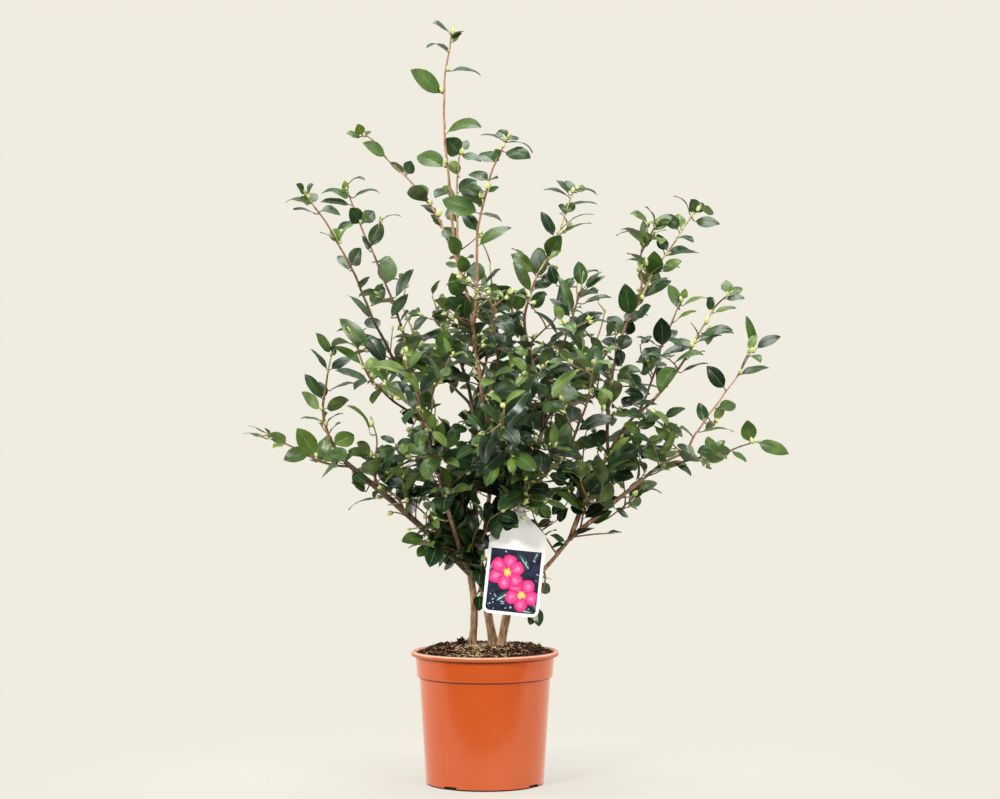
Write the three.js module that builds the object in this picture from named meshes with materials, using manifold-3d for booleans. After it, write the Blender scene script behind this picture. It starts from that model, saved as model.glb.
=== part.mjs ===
// A camellia shrub in a round nursery pot.
// Millimetres, +Z up, origin at the centre of the pot's flat underside.
//
// The plant is one clump of three stems that stand on the root ball. The stems fork into
// boughs, and each bough ends where it enters a mass of leaves. Every stem, bough and leaf
// mass is a solid of its own. A printed hang label loops round one of the front boughs.
import * as THREE from "three";
import { mergeVertices } from "three/addons/utils/BufferGeometryUtils.js";
import Module from "manifold-3d";

const wasm = await Module();
wasm.setup();

// ---------------------------------------------------------------- driving sizes
const GAP = 0.35; // clearance between solids that touch
const TIDY = 0.08; // slivers thinner than this are merged away after a cut

// pot
const RIM_R = 95; // outer radius of the rolled lip
const RIM_H = 6; // height of the lip
const POT_H = 171; // overall height of the pot
const COLLAR_TOP_R = 89.5; // wall radius under the lip
const COLLAR_BOTTOM_R = 87.5; // wall radius at the foot of the collar
const COLLAR_H = 33; // from the top of the pot to the collar's step
const BODY_TOP_R = 84.2; // wall radius under the step
const BASE_R = 76; // wall radius at the underside
const WALL = 1.8;
const FLOOR = 3;
const POT_SIDES = 40;
const NOTCH_W = 15; // drain notches at the foot of the wall
const NOTCH_H = 3.1;
const NOTCH_IN = 9; // how far a notch reaches in from the wall
const NOTCH_COUNT = 4;
const NOTCH_FIRST_DEG = -125; // direction of the first notch, from +X

// root ball
const SOIL_EDGE_Z = 166.5; // where the compost meets the pot's wall
const SOIL_TOP_Z = 178; // level patch that the stems stand on
const SOIL_TOP_R = 34;

// wood
const LIMB_SIDES = 7;

// hang label
const LABEL_W = 72;
const LABEL_H = 104; // straight-sided part of the card
const LABEL_NECK_H = 30; // shoulders and neck above it
const LABEL_NECK_W = 15;
const LABEL_T = 0.8;
const LABEL_CORNER = 9;
const LABEL_LEAN_DEG = 6; // its top leans to +X
const LABEL_FOOT = [32, -52, 221]; // middle of the card's lower edge
const LOOP_R = 3.9; // inner radius of the strap's loop
const LOOP_T = 0.9;
const LOOP_W = 12;

// ---------------------------------------------------------------- solids from geometry
function solid(geometry) {
  const g = geometry.clone();
  g.deleteAttribute("normal");
  g.deleteAttribute("uv");
  const m = mergeVertices(g, 1e-3);
  return new wasm.Manifold(
    new wasm.Mesh({
      numProp: 3,
      vertProperties: new Float32Array(m.attributes.position.array),
      triVerts: new Uint32Array(m.index.array),
    }),
  );
}

function geometryOf(manifold) {
  const m = manifold.getMesh();
  const xyz = new Float32Array(m.numVert * 3);
  for (let i = 0; i < m.numVert; i++)
    xyz.set(m.vertProperties.subarray(i * m.numProp, i * m.numProp + 3), i * 3);
  const indexed = new THREE.BufferGeometry();
  indexed.setAttribute("position", new THREE.BufferAttribute(xyz, 3));
  indexed.setIndex(new THREE.BufferAttribute(new Uint32Array(m.triVerts), 1));
  const g = indexed.toNonIndexed();
  g.computeVertexNormals();
  return g;
}

const largest = (manifold) =>
  manifold.decompose().reduce((a, b) => (b.volume() > a.volume() ? b : a));

// A small smooth noise of direction, so that every mass of leaves has its own lumps.
function lumps(p, seed) {
  return (
    0.5 * Math.sin(2.7 * p.x + 1.9 * p.z + seed * 1.7) +
    0.5 * Math.sin(3.1 * p.y - 2.3 * p.x + seed * 2.9) +
    0.35 * Math.sin(4.6 * p.z + 3.9 * p.y + seed * 4.1)
  );
}

// A curve from foot to tip. bow moves its middle off the straight line.
function spine(foot, tip, bow = [0, 0, 0]) {
  const a = new THREE.Vector3(...foot);
  const b = new THREE.Vector3(...tip);
  const mid = a.clone().lerp(b, 0.5).add(new THREE.Vector3(...bow));
  // the control point that makes the curve pass through mid
  const control = mid.multiplyScalar(2).sub(a.clone().add(b).multiplyScalar(0.5));
  return new THREE.QuadraticBezierCurve3(a, control, b);
}

// Turns a unit geometry about its Y axis (y from -1 to 1) into a body along a curve.
// longer is how far the two ends are pushed out past the curve.
function along(geometry, curve, radius, steps, longer = 0, level) {
  const frames = curve.computeFrenetFrames(steps, false);
  const position = geometry.attributes.position;
  const p = new THREE.Vector3();
  for (let i = 0; i < position.count; i++) {
    p.fromBufferAttribute(position, i);
    const v = Math.min(1, Math.max(0, (p.y + 1) / 2));
    const at = v * steps;
    const k = Math.min(steps - 1, Math.floor(at));
    const f = at - k;
    const tangent = frames.tangents[k].clone().lerp(frames.tangents[k + 1], f).normalize();
    const normal = frames.normals[k].clone().lerp(frames.normals[k + 1], f);
    normal.addScaledVector(tangent, -normal.dot(tangent)).normalize();
    const side = new THREE.Vector3().crossVectors(normal, tangent);
    const r = radius(v, p);
    const q = curve
      .getPoint(v)
      .addScaledVector(normal, p.x * r)
      .addScaledVector(side, p.z * r)
      .addScaledVector(tangent, p.y * longer);
    if (level !== undefined && v === 0) q.z = level; // a flat, level cut
    position.setXYZ(i, q.x, q.y, q.z);
  }
  return geometry;
}

// ---------------------------------------------------------------- pot
function potSolid() {
  const h = POT_H;
  const outer = [
    [0, 0],
    [BASE_R, 0],
    [BODY_TOP_R, h - COLLAR_H - 1.5],
    [COLLAR_BOTTOM_R, h - COLLAR_H + 0.5],
    [COLLAR_TOP_R, h - RIM_H],
    [RIM_R, h - RIM_H + 1],
    [RIM_R, h - 1.6],
    [RIM_R - 1.4, h],
  ];
  const inner = [
    [COLLAR_TOP_R - WALL + 0.4, h],
    [COLLAR_BOTTOM_R - WALL, h - COLLAR_H + 0.5],
    [BODY_TOP_R - WALL, h - COLLAR_H - 1.5],
    [BASE_R - WALL, FLOOR],
    [0, FLOOR],
  ];
  const profile = [...outer, ...inner].map(([r, z]) => new THREE.Vector2(r, z));
  let pot = solid(new THREE.LatheGeometry(profile, POT_SIDES).rotateX(Math.PI / 2));
  if (pot.volume() < 0) throw new Error("the pot's profile runs the wrong way");
  for (let i = 0; i < NOTCH_COUNT; i++) {
    const turn = THREE.MathUtils.degToRad(NOTCH_FIRST_DEG + (i * 360) / NOTCH_COUNT);
    const notch = new THREE.BoxGeometry(2 * NOTCH_IN, NOTCH_W, 2 * NOTCH_H)
      .translate(BASE_R, 0, 0)
      .rotateZ(turn);
    pot = pot.subtract(solid(notch));
  }
  return pot;
}

// ---------------------------------------------------------------- root ball
function soilSolid() {
  const wallAt = (z) =>
    z > POT_H - COLLAR_H + 0.5
      ? THREE.MathUtils.mapLinear(z, POT_H - COLLAR_H + 0.5, POT_H - RIM_H, COLLAR_BOTTOM_R, COLLAR_TOP_R)
      : THREE.MathUtils.mapLinear(z, 0, POT_H - COLLAR_H - 1.5, BASE_R, BODY_TOP_R);
  const fit = (z) => wallAt(z) - WALL - GAP - 0.4;
  const bottom = NOTCH_H + 0.4;
  const profile = [
    [0, bottom],
    [fit(bottom), bottom],
    [fit(POT_H - COLLAR_H - 2), POT_H - COLLAR_H - 2],
    [fit(POT_H - COLLAR_H + 2.5), POT_H - COLLAR_H + 2.5],
    [fit(SOIL_EDGE_Z), SOIL_EDGE_Z],
    [72, SOIL_EDGE_Z + 4.5],
    [52, SOIL_TOP_Z - 3.5],
    [SOIL_TOP_R, SOIL_TOP_Z],
    [0, SOIL_TOP_Z],
  ].map(([r, z]) => new THREE.Vector2(r, z));
  return solid(new THREE.LatheGeometry(profile, POT_SIDES).rotateX(Math.PI / 2));
}

// ---------------------------------------------------------------- wood
const STEM_FOOT_Z = SOIL_TOP_Z + GAP;
// name, foot, tip, bow of the middle, radius at the foot, radius at the tip, root flare, parents it is cut clear of
const WOOD = [
  ["left_stem", [-17, 6, STEM_FOOT_Z], [-19, 2, 269], [4, 0, 0], 4.7, 4.4, 2.6, []],
  ["middle_stem", [11, 6, STEM_FOOT_Z], [-9, 14, 289], [0, 1, 0], 5.6, 4.5, 2.6, []],
  ["right_stem", [21, -4, STEM_FOOT_Z], [34, -8, 241], [-1, 0, 0], 5.2, 5.0, 2.2, ["middle_stem"]],
  ["bough_left_low", [-19, 2, 270], [-176, -47, 414], [2, 0, 2], 4.6, 3.2, 0, ["left_stem"]],
  ["bough_left_upper", [-19, 3, 270], [-94, 16, 506], [4, 4, -6], 3.5, 2.5, 0, ["left_stem", "bough_left_low"]],
  ["bough_middle", [-9, 14, 290], [-15, 34, 478], [-2, 2, 0], 4.0, 2.9, 0, ["middle_stem"]],
  ["bough_back", [-8, 15, 288], [10, 104, 432], [2, -8, -12], 3.4, 2.6, 0, ["middle_stem", "bough_middle"]],
  ["bough_leader", [34, -8, 242], [-4, -2, 505], [6, 3, 0], 4.4, 3.2, 0, ["right_stem"]],
  ["bough_right_low", [35, -8, 241], [109, -15, 316], [1, 0, -5], 4.8, 4.2, 0, ["right_stem", "bough_leader"]],
  ["bough_right_rise", [110, -15, 317], [158, -24, 424], [-2, 0, 3], 3.4, 2.7, 0, ["bough_right_low"]],
  ["bough_right_out", [110, -15, 317], [194, -46, 388], [0, 0, 0], 3.2, 2.4, 0, ["bough_right_low", "bough_right_rise"]],
  ["bough_centre", [29, -4, 300], [80, 30, 470], [-3, 2, -6], 3.4, 2.7, 0, ["bough_leader"]],
  ["bough_front", [30, -8, 292], [106, -98, 428], [-19, -1, 4], 3.0, 2.2, 0, ["bough_leader", "bough_centre", "bough_right_low"]],
  ["bough_front_left", [-20, 1, 272], [-58, -92, 402], [0, -5, -9], 3.2, 2.4, 0, ["left_stem", "bough_left_low", "bough_left_upper"]],
];

function limbGeometry([, foot, tip, bow, r0, r1, flare], extra = 0) {
  const curve = spine(foot, tip, bow);
  const length = curve.getLength();
  const steps = Math.max(4, Math.min(9, Math.round(length / 24)));
  const unit = new THREE.CylinderGeometry(1, 1, 2, LIMB_SIDES, steps, false);
  const radius = (v) =>
    THREE.MathUtils.lerp(r0, r1, v) + flare * Math.exp((-v * length) / 7) + extra;
  return along(unit, curve, radius, steps, extra, flare > 0 ? foot[2] : undefined);
}

const wood = new Map();
const woodClear = new Map(); // the same limbs, a gap fatter
for (const row of WOOD) {
  const [name, , , , , , , parents] = row;
  let s = solid(limbGeometry(row));
  for (const parent of parents) s = s.subtract(woodClear.get(parent));
  wood.set(name, largest(s).simplify(TIDY));
  woodClear.set(name, solid(limbGeometry(row, GAP)));
}

// ---------------------------------------------------------------- masses of leaves
// name, start, end, bow of the middle, half width at the start, half width at the end, depth over width
const MASSES = [
  // sprays: long shoots that stand clear of the crown
  ["spray_leader", [-50, 0, 774], [-42, -8, 978], [4, 0, 0], 46, 27, 0.9],
  ["spray_top_middle", [-31, 12, 636], [-36, 44, 836], [2, 0, 0], 36, 27, 0.95],
  ["spray_top_right", [-2, -26, 626], [28, -96, 826], [0, 6, 0], 44, 33, 0.9],
  ["spray_top_left", [-58, 30, 676], [-178, 92, 852], [16, 0, 0], 26, 22, 0.9],
  ["spray_left_inner", [-108, 34, 572], [-184, 108, 784], [10, 0, 0], 36, 27, 0.9],
  ["spray_left_outer", [-128, -46, 560], [-232, -118, 756], [10, 0, 0], 30, 29, 0.9],
  ["spray_left_middle", [-100, -62, 478], [-174, -128, 588], [0, 0, 0], 38, 25, 0.9],
  ["spray_left", [-188, -50, 414], [-200, -62, 568], [-10, 0, 0], 24, 34, 0.9],
  ["spray_far_left", [-168, -46, 400], [-302, -82, 456], [0, 0, -8], 22, 22, 0.9],
  ["spray_centre_top", [58, 64, 616], [118, 138, 788], [-2, 0, 0], 38, 30, 0.9],
  ["spray_centre_right", [86, -66, 500], [128, -148, 662], [0, 0, 0], 42, 34, 0.9],
  ["spray_right_top", [166, 38, 550], [282, 108, 756], [-10, 0, 8], 44, 36, 0.9],
  ["spray_right_back", [160, 66, 540], [214, 158, 728], [-6, 0, 0], 34, 28, 0.9],
  ["spray_right_upper", [206, -46, 492], [312, -98, 632], [-6, 0, 8], 42, 30, 0.9],
  ["spray_right", [202, 2, 406], [366, 86, 592], [18, 0, -20], 19, 36, 0.9],
  ["spray_right_low", [200, -46, 396], [374, -92, 440], [0, 0, -4], 21, 25, 0.9],
  ["spray_back_left", [-72, 150, 520], [-134, 236, 672], [0, 0, 0], 40, 30, 1.0],
  ["spray_back_right", [96, 152, 506], [154, 240, 640], [0, 0, 0], 40, 30, 1.0],
  ["spray_back_top", [2, 96, 612], [-8, 196, 740], [0, 0, 0], 38, 27, 1.0],
  ["spray_back", [16, 160, 404], [22, 280, 484], [0, 0, -6], 36, 26, 1.0],
  ["spray_front_left", [-62, -140, 450], [-96, -244, 560], [0, 0, 0], 38, 28, 1.0],
  ["spray_front_right", [84, -140, 440], [122, -246, 540], [0, 0, 0], 38, 28, 1.0],
  ["spray_front_top", [8, -110, 560], [2, -206, 680], [0, 0, 0], 38, 27, 1.0],
  ["spray_front", [10, -156, 420], [16, -268, 494], [0, 0, -6], 36, 26, 1.0],
  // the body of the crown
  ["crown_top", [-62, 4, 566], [98, 12, 590], [0, 0, 30], 52, 50, 1.2],
  ["crown_left", [-142, -10, 506], [-74, 4, 604], [0, 0, 0], 44, 46, 1.3],
  ["crown_middle", [-70, 2, 476], [84, 6, 482], [0, 0, 16], 50, 50, 1.35],
  ["crown_right", [104, 2, 452], [186, 6, 566], [6, 0, -6], 52, 54, 1.25],
  ["crown_low_left", [-162, -26, 404], [-50, -12, 396], [0, 0, -4], 38, 42, 1.3],
  ["crown_low_right", [92, -8, 404], [212, -16, 402], [0, 0, -4], 38, 36, 1.35],
  ["crown_low_middle", [-44, -14, 384], [78, -4, 394], [0, 0, 4], 36, 38, 1.35],
  ["crown_back_upper", [-84, 108, 556], [110, 112, 550], [0, 22, 8], 54, 54, 1.0],
  ["crown_back_lower", [-112, 104, 450], [130, 104, 446], [0, 28, 4], 55, 54, 1.0],
  ["crown_front_upper", [-72, -102, 522], [92, -104, 516], [0, -18, 8], 48, 48, 1.0],
  ["crown_front_lower", [-98, -102, 432], [116, -102, 426], [0, -22, 6], 47, 47, 1.0],
  ["skirt_left", [-84, -22, 356], [-26, -14, 304], [0, 0, -4], 28, 20, 1.1],
];
const END_FULLNESS = 0.62; // below 1 the ends of a mass are blunter than an ellipsoid's
const UNEVEN = 0.15;

function massGeometry([, from, to, bow, r0, r1, depth], seed, extra = 0) {
  const unit = new THREE.SphereGeometry(1, 9, 7);
  const position = unit.attributes.position;
  for (let i = 0; i < position.count; i++) {
    const y = position.getY(i);
    position.setY(i, Math.sign(y) * Math.abs(y) ** END_FULLNESS);
  }
  const curve = spine(from, to, bow);
  const radius = (v, p) => THREE.MathUtils.lerp(r0, r1, v) * (1 + UNEVEN * lumps(p, seed)) + extra;
  const g = along(unit, curve, radius, 12, extra);
  // stretched or flattened in depth about the spine
  for (let i = 0; i < position.count; i++) {
    const v = (Math.min(1, Math.max(0, (unitY(from, to, position, i) + 1) / 2)));
    const mid = curve.getPoint(v).y;
    position.setY(i, mid + (position.getY(i) - mid) * depth);
  }
  return g;
}

// how far along from-to a vertex lies, from -1 to 1
function unitY(from, to, position, i) {
  const a = new THREE.Vector3(...from);
  const ab = new THREE.Vector3(...to).sub(a);
  const ap = new THREE.Vector3().fromBufferAttribute(position, i).sub(a);
  return (2 * ap.dot(ab)) / ab.lengthSq() - 1;
}

const masses = new Map();
let taken = null; // everything placed so far, a gap fatter
for (const s of woodClear.values()) taken = taken ? taken.add(s) : s;

// ---------------------------------------------------------------- label
function labelGeometry() {
  const w = LABEL_W / 2;
  const n = LABEL_NECK_W / 2;
  const c = LABEL_CORNER;
  const shape = new THREE.Shape();
  shape.moveTo(-w + c, 0);
  shape.lineTo(w - c, 0);
  shape.absarc(w - c, c, c, -Math.PI / 2, 0, false);
  shape.lineTo(w, LABEL_H);
  shape.lineTo(n, LABEL_H + LABEL_NECK_H - 6);
  shape.lineTo(n, LABEL_H + LABEL_NECK_H);
  shape.lineTo(-n, LABEL_H + LABEL_NECK_H);
  shape.lineTo(-n, LABEL_H + LABEL_NECK_H - 6);
  shape.lineTo(-w, LABEL_H);
  shape.lineTo(-w, c);
  shape.absarc(-w + c, c, c, Math.PI, 1.5 * Math.PI, false);
  return new THREE.ExtrudeGeometry(shape, { depth: LABEL_T, bevelEnabled: false, curveSegments: 5 });
}

const lean = THREE.MathUtils.degToRad(LABEL_LEAN_DEG);
const labelTurn = new THREE.Matrix4()
  .makeTranslation(...LABEL_FOOT)
  .multiply(new THREE.Matrix4().makeRotationY(lean))
  .multiply(new THREE.Matrix4().makeRotationX(Math.PI / 2));
// the strap closes in a short tube round the front bough, just above the card's neck
function loopGeometry() {
  const r0 = LOOP_R;
  const r1 = LOOP_R + LOOP_T;
  const h = LOOP_W / 2;
  const profile = [
    [r0, -h],
    [r1, -h],
    [r1, h],
    [r0, h],
    [r0, -h],
  ].map(([r, z]) => new THREE.Vector2(r, z));
  return new THREE.LatheGeometry(profile, 16);
}
const neckTop = new THREE.Vector3(0, LABEL_H + LABEL_NECK_H, LABEL_T / 2).applyMatrix4(labelTurn);
const front = WOOD.find((row) => row[0] === "bough_front");
const frontCurve = spine(front[1], front[2], front[3]);
let nearest = 0;
for (let v = 0; v <= 1; v += 0.01)
  if (frontCurve.getPoint(v).distanceTo(neckTop) < frontCurve.getPoint(nearest).distanceTo(neckTop)) nearest = v;
// the loop hangs on the bough, so its middle is a little below the bough's
const hangAt = frontCurve.getPoint(nearest).add(new THREE.Vector3(0, 0, -0.7));
const loopTurn = new THREE.Matrix4().compose(
  hangAt,
  new THREE.Quaternion().setFromUnitVectors(new THREE.Vector3(0, 1, 0), frontCurve.getTangent(nearest)),
  new THREE.Vector3(1, 1, 1),
);
const tube = (r, h) => solid(new THREE.CylinderGeometry(r, r, h, 16).applyMatrix4(loopTurn));
const label = largest(
  solid(labelGeometry().applyMatrix4(labelTurn))
    .subtract(tube(LOOP_R, LOOP_W + 8))
    .add(solid(loopGeometry().applyMatrix4(loopTurn)))
    .subtract(taken),
).simplify(TIDY);
const labelClear = solid(
  new THREE.BoxGeometry(LABEL_W + 2, LABEL_H + LABEL_NECK_H + 1, LABEL_T + 1.5)
    .translate(0, (LABEL_H + LABEL_NECK_H) / 2, LABEL_T / 2)
    .applyMatrix4(labelTurn),
);
taken = taken.add(labelClear).add(tube(LOOP_R + LOOP_T + 0.6, LOOP_W + 1));

// Each mass is cut clear of the wood, the label and the masses before it. The limb that
// carries a mass runs into it, so its tip is left inside a pocket of its own shape.
MASSES.forEach((row, i) => {
  const seed = i + 1;
  const s = largest(solid(massGeometry(row, seed)).subtract(taken)).simplify(TIDY);
  masses.set(row[0], s);
  taken = taken.add(solid(massGeometry(row, seed, GAP)));
});

// ---------------------------------------------------------------- materials
const finish = (color, roughness) => new THREE.MeshStandardMaterial({ color, roughness, metalness: 0 });
const TERRACOTTA = finish(0xd4622c, 0.35);
const COMPOST = finish(0x3a2a1e, 0.95);
const BARK = finish(0x8a6a50, 0.8);
const YOUNG_BARK = finish(0xa0623f, 0.65);
const LEAF = finish(0x2c4a2a, 0.35);
const CARD = finish(0xf2f2ee, 0.4);

// ---------------------------------------------------------------- scene
const group = new THREE.Group();
function place(name, manifold, material) {
  const mesh = new THREE.Mesh(geometryOf(manifold), material);
  mesh.name = name;
  group.add(mesh);
}
place("pot", potSolid(), TERRACOTTA);
place("soil", soilSolid(), COMPOST);
for (const [name, s] of wood) place(name, s, name.endsWith("stem") ? BARK : YOUNG_BARK);
for (const [name, s] of masses) place(name, s, LEAF);
place("plant_label", label, CARD);

export default group;
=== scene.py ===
import math
import random

import bmesh
import bpy
import numpy as np
from mathutils import Matrix, Vector, noise
from mathutils.bvhtree import BVHTree


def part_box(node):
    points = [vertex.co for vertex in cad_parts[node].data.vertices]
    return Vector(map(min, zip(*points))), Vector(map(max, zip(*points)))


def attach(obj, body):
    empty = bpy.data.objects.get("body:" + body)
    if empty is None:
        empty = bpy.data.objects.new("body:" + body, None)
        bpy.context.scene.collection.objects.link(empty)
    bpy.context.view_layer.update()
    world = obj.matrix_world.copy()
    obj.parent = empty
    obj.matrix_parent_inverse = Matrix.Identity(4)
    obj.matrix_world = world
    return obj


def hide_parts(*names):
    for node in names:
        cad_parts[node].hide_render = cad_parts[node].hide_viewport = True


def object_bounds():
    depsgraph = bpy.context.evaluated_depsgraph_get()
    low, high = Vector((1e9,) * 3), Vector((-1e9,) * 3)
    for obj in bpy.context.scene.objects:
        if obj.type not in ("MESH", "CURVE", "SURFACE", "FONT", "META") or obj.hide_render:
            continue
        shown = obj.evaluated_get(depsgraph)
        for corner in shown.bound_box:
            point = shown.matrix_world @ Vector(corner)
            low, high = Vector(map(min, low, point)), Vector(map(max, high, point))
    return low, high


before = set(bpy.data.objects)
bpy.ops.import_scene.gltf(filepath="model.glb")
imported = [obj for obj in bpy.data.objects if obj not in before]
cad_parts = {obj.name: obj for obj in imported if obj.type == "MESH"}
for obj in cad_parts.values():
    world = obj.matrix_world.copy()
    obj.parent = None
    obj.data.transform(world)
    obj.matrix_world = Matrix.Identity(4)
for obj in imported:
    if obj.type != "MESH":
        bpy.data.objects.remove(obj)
CAD_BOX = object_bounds()

random.seed(20)
noise.seed_set(7)
rnd = random.Random(41)
MM = 0.001

# ------------------------------------------------------------------ the view
# The camera stands level, 3.2 m in front of the plant. K is millimetres for each
# pixel of the 1000 x 799 frame at the depth of the stems.
K, CAM_D, CAM_X, CAM_Z, HORIZON = 1.29, 3200.0, 19.35, 494.6, 399.5


def at(px, py, y):
    """A point in millimetres, by its place in the view and its depth."""
    s = K * (CAM_D + y) / CAM_D
    return Vector((CAM_X + (px - 500) * s, y, CAM_Z + (HORIZON - py) * s))


def seen_at(p):
    s = K * (CAM_D + p[1]) / CAM_D
    return 500 + (p[0] - CAM_X) / s, HORIZON + (CAM_Z - p[2]) / s


cam_data = bpy.data.cameras.new("camera")
cam = bpy.data.objects.new("camera", cam_data)
bpy.context.collection.objects.link(cam)
cam.location = (CAM_X * MM, -CAM_D * MM, CAM_Z * MM)
cam.rotation_euler = (math.pi / 2, 0, 0)
cam_data.sensor_width = 36.0
cam_data.lens = 36.0 * CAM_D / (K * 1000.0)
cam_data.clip_start, cam_data.clip_end = 0.05, 200
bpy.context.scene.camera = cam

# ------------------------------------------------------------------ materials


def rgb(r, g, b):
    """sRGB 0-255 to linear."""
    def f(c):
        c /= 255.0
        return c / 12.92 if c <= 0.04045 else ((c + 0.055) / 1.055) ** 2.4
    return (f(r), f(g), f(b), 1.0)


def principled(name, base, rough, spec=0.5, coat=0.0, coat_rough=0.2, sheen=0.0):
    m = bpy.data.materials.new(name)
    m.use_nodes = True
    b = m.node_tree.nodes["Principled BSDF"]
    b.inputs["Base Color"].default_value = base
    b.inputs["Roughness"].default_value = rough
    b.inputs["Specular IOR Level"].default_value = spec
    b.inputs["Coat Weight"].default_value = coat
    b.inputs["Coat Roughness"].default_value = coat_rough
    b.inputs["Sheen Weight"].default_value = sheen
    return m


def noise_node(nt, scale, detail, rough=0.55, stretch=None):
    tc = nt.nodes.new("ShaderNodeTexCoord")
    mp = nt.nodes.new("ShaderNodeMapping")
    if stretch:
        mp.inputs["Scale"].default_value = stretch
    n = nt.nodes.new("ShaderNodeTexNoise")
    n.inputs["Scale"].default_value = scale
    n.inputs["Detail"].default_value = detail
    n.inputs["Roughness"].default_value = rough
    nt.links.new(tc.outputs["Object"], mp.inputs["Vector"])
    nt.links.new(mp.outputs["Vector"], n.inputs["Vector"])
    return n.outputs["Fac"]


def ramp(nt, fac, stops):
    r = nt.nodes.new("ShaderNodeValToRGB")
    while len(r.color_ramp.elements) < len(stops):
        r.color_ramp.elements.new(0.5)
    for e, (pos, col) in zip(r.color_ramp.elements, stops):
        e.position, e.color = pos, col
    nt.links.new(fac, r.inputs["Fac"])
    return r.outputs["Color"]


def bump(m, height, strength, distance):
    nt = m.node_tree
    b = nt.nodes["Principled BSDF"]
    n = nt.nodes.new("ShaderNodeBump")
    n.inputs["Strength"].default_value = strength
    n.inputs["Distance"].default_value = distance
    nt.links.new(height, n.inputs["Height"])
    nt.links.new(n.outputs["Normal"], b.inputs["Normal"])


def patterned(name, stops, scale, detail, rough, spec=0.5, stretch=None, coat=0.0, rough_range=None):
    m = principled(name, stops[0][1], rough, spec, coat)
    nt = m.node_tree
    f = noise_node(nt, scale, detail, stretch=stretch)
    nt.links.new(ramp(nt, f, stops), nt.nodes["Principled BSDF"].inputs["Base Color"])
    if rough_range:
        lo, hi = rough_range
        g = noise_node(nt, scale * 0.6, 3, stretch=stretch)
        mr = nt.nodes.new("ShaderNodeMapRange")
        mr.inputs["To Min"].default_value = lo
        mr.inputs["To Max"].default_value = hi
        nt.links.new(g, mr.inputs["Value"])
        nt.links.new(mr.outputs["Result"], nt.nodes["Principled BSDF"].inputs["Roughness"])
    return m


# leaves: plain base colours, dealt out leaf by leaf and spray by spray, each with a faint
# cloud in it and the leathery grain of the blade
def leafy(name, r, g, b, rough, spec, vary=0.16):
    lo = rgb(r * (1 - vary), g * (1 - vary), b * (1 - vary * 0.6))
    hi = rgb(min(255, r * (1 + vary)), min(255, g * (1 + vary)), b * (1 + vary * 0.6))
    m = patterned(name, [(0.34, lo), (0.5, rgb(r, g, b)), (0.66, hi)], 75, 2, rough, spec)
    bump(m, noise_node(m.node_tree, 420, 2), 0.07, 0.0004)
    return m


LEAF_TOPS = [
    leafy("leaf_deep", 25, 45, 23, 0.27, 0.46),
    leafy("leaf_dark", 42, 67, 31, 0.29, 0.44),
    leafy("leaf_mid", 68, 94, 38, 0.32, 0.42, 0.12),
    leafy("leaf_fresh", 91, 117, 46, 0.35, 0.45, 0.10),
    leafy("leaf_young", 122, 146, 70, 0.42, 0.40, 0.09),
]
LEAF_BACKS = [
    leafy("leaf_back_dark", 82, 102, 60, 0.5, 0.35),
    leafy("leaf_back", 106, 126, 70, 0.5, 0.35),
    leafy("leaf_back_young", 136, 158, 80, 0.5, 0.35),
]
LEAF_RIBS = [
    leafy("leaf_rib", 80, 110, 60, 0.42, 0.40),
    leafy("leaf_rib_young", 134, 156, 84, 0.45, 0.40),
]
LEAF_MATS = LEAF_TOPS + LEAF_BACKS + LEAF_RIBS
BACK0, RIB0 = len(LEAF_TOPS), len(LEAF_TOPS) + len(LEAF_BACKS)

def twiggy(name, r, g, b, rough):
    m = patterned(
        name, [(0.3, rgb(r * 0.72, g * 0.7, b * 0.7)), (0.52, rgb(r, g, b)), (0.75, rgb(min(255, r * 1.15), min(255, g * 1.15), min(255, b * 1.16)))],
        230, 4, rough, 0.35, stretch=(1, 1, 0.4),
    )
    bump(m, noise_node(m.node_tree, 800, 3), 0.25, 0.0003)
    return m


TWIG_MATS = [
    twiggy("twig_tan", 171, 131, 101, 0.6),
    twiggy("twig_red", 138, 103, 76, 0.55),
    twiggy("twig_brown", 100, 79, 58, 0.65),
    twiggy("twig_grey", 74, 62, 47, 0.75),
    twiggy("twig_green", 150, 152, 92, 0.5),
    twiggy("twig_straw", 186, 166, 118, 0.5),
]
BUD_MATS = [
    leafy("bud_pale", 200, 206, 138, 0.45, 0.4, 0.1),
    leafy("bud_green", 160, 178, 96, 0.45, 0.4, 0.12),
    leafy("bud_scale", 146, 126, 78, 0.55, 0.35, 0.2),
]

bark = patterned(
    "bark_old",
    [(0.3, rgb(92, 68, 50)), (0.45, rgb(140, 108, 80)), (0.6, rgb(168, 136, 104)), (0.8, rgb(204, 178, 146))],
    260, 8, 0.72, 0.3, stretch=(1.0, 1.0, 0.28), rough_range=(0.6, 0.85),
)
bump(bark, noise_node(bark.node_tree, 900, 6, 0.65, (1, 1, 0.3)), 0.5, 0.0006)
YOUNG_BARKS = []  # darker on the left, paler on the right
for word, k in (("", 1.0), ("_dark", 0.84), ("_pale", 1.2)):
    young_bark = patterned(
        "bark_young" + word,
        [(0.3, rgb(72 * k, 54 * k, 41 * k)), (0.47, rgb(118 * k, 92 * k, 70 * k)), (0.62, rgb(148 * k, 119 * k, 93 * k)), (0.82, rgb(188 * k, 160 * k, 131 * k))],
        240, 7, 0.6, 0.35, stretch=(1.0, 1.0, 0.5), rough_range=(0.5, 0.75),
    )
    bump(young_bark, noise_node(young_bark.node_tree, 1000, 5, 0.6, (1, 1, 0.5)), 0.4, 0.0004)
    YOUNG_BARKS.append(young_bark)

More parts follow.
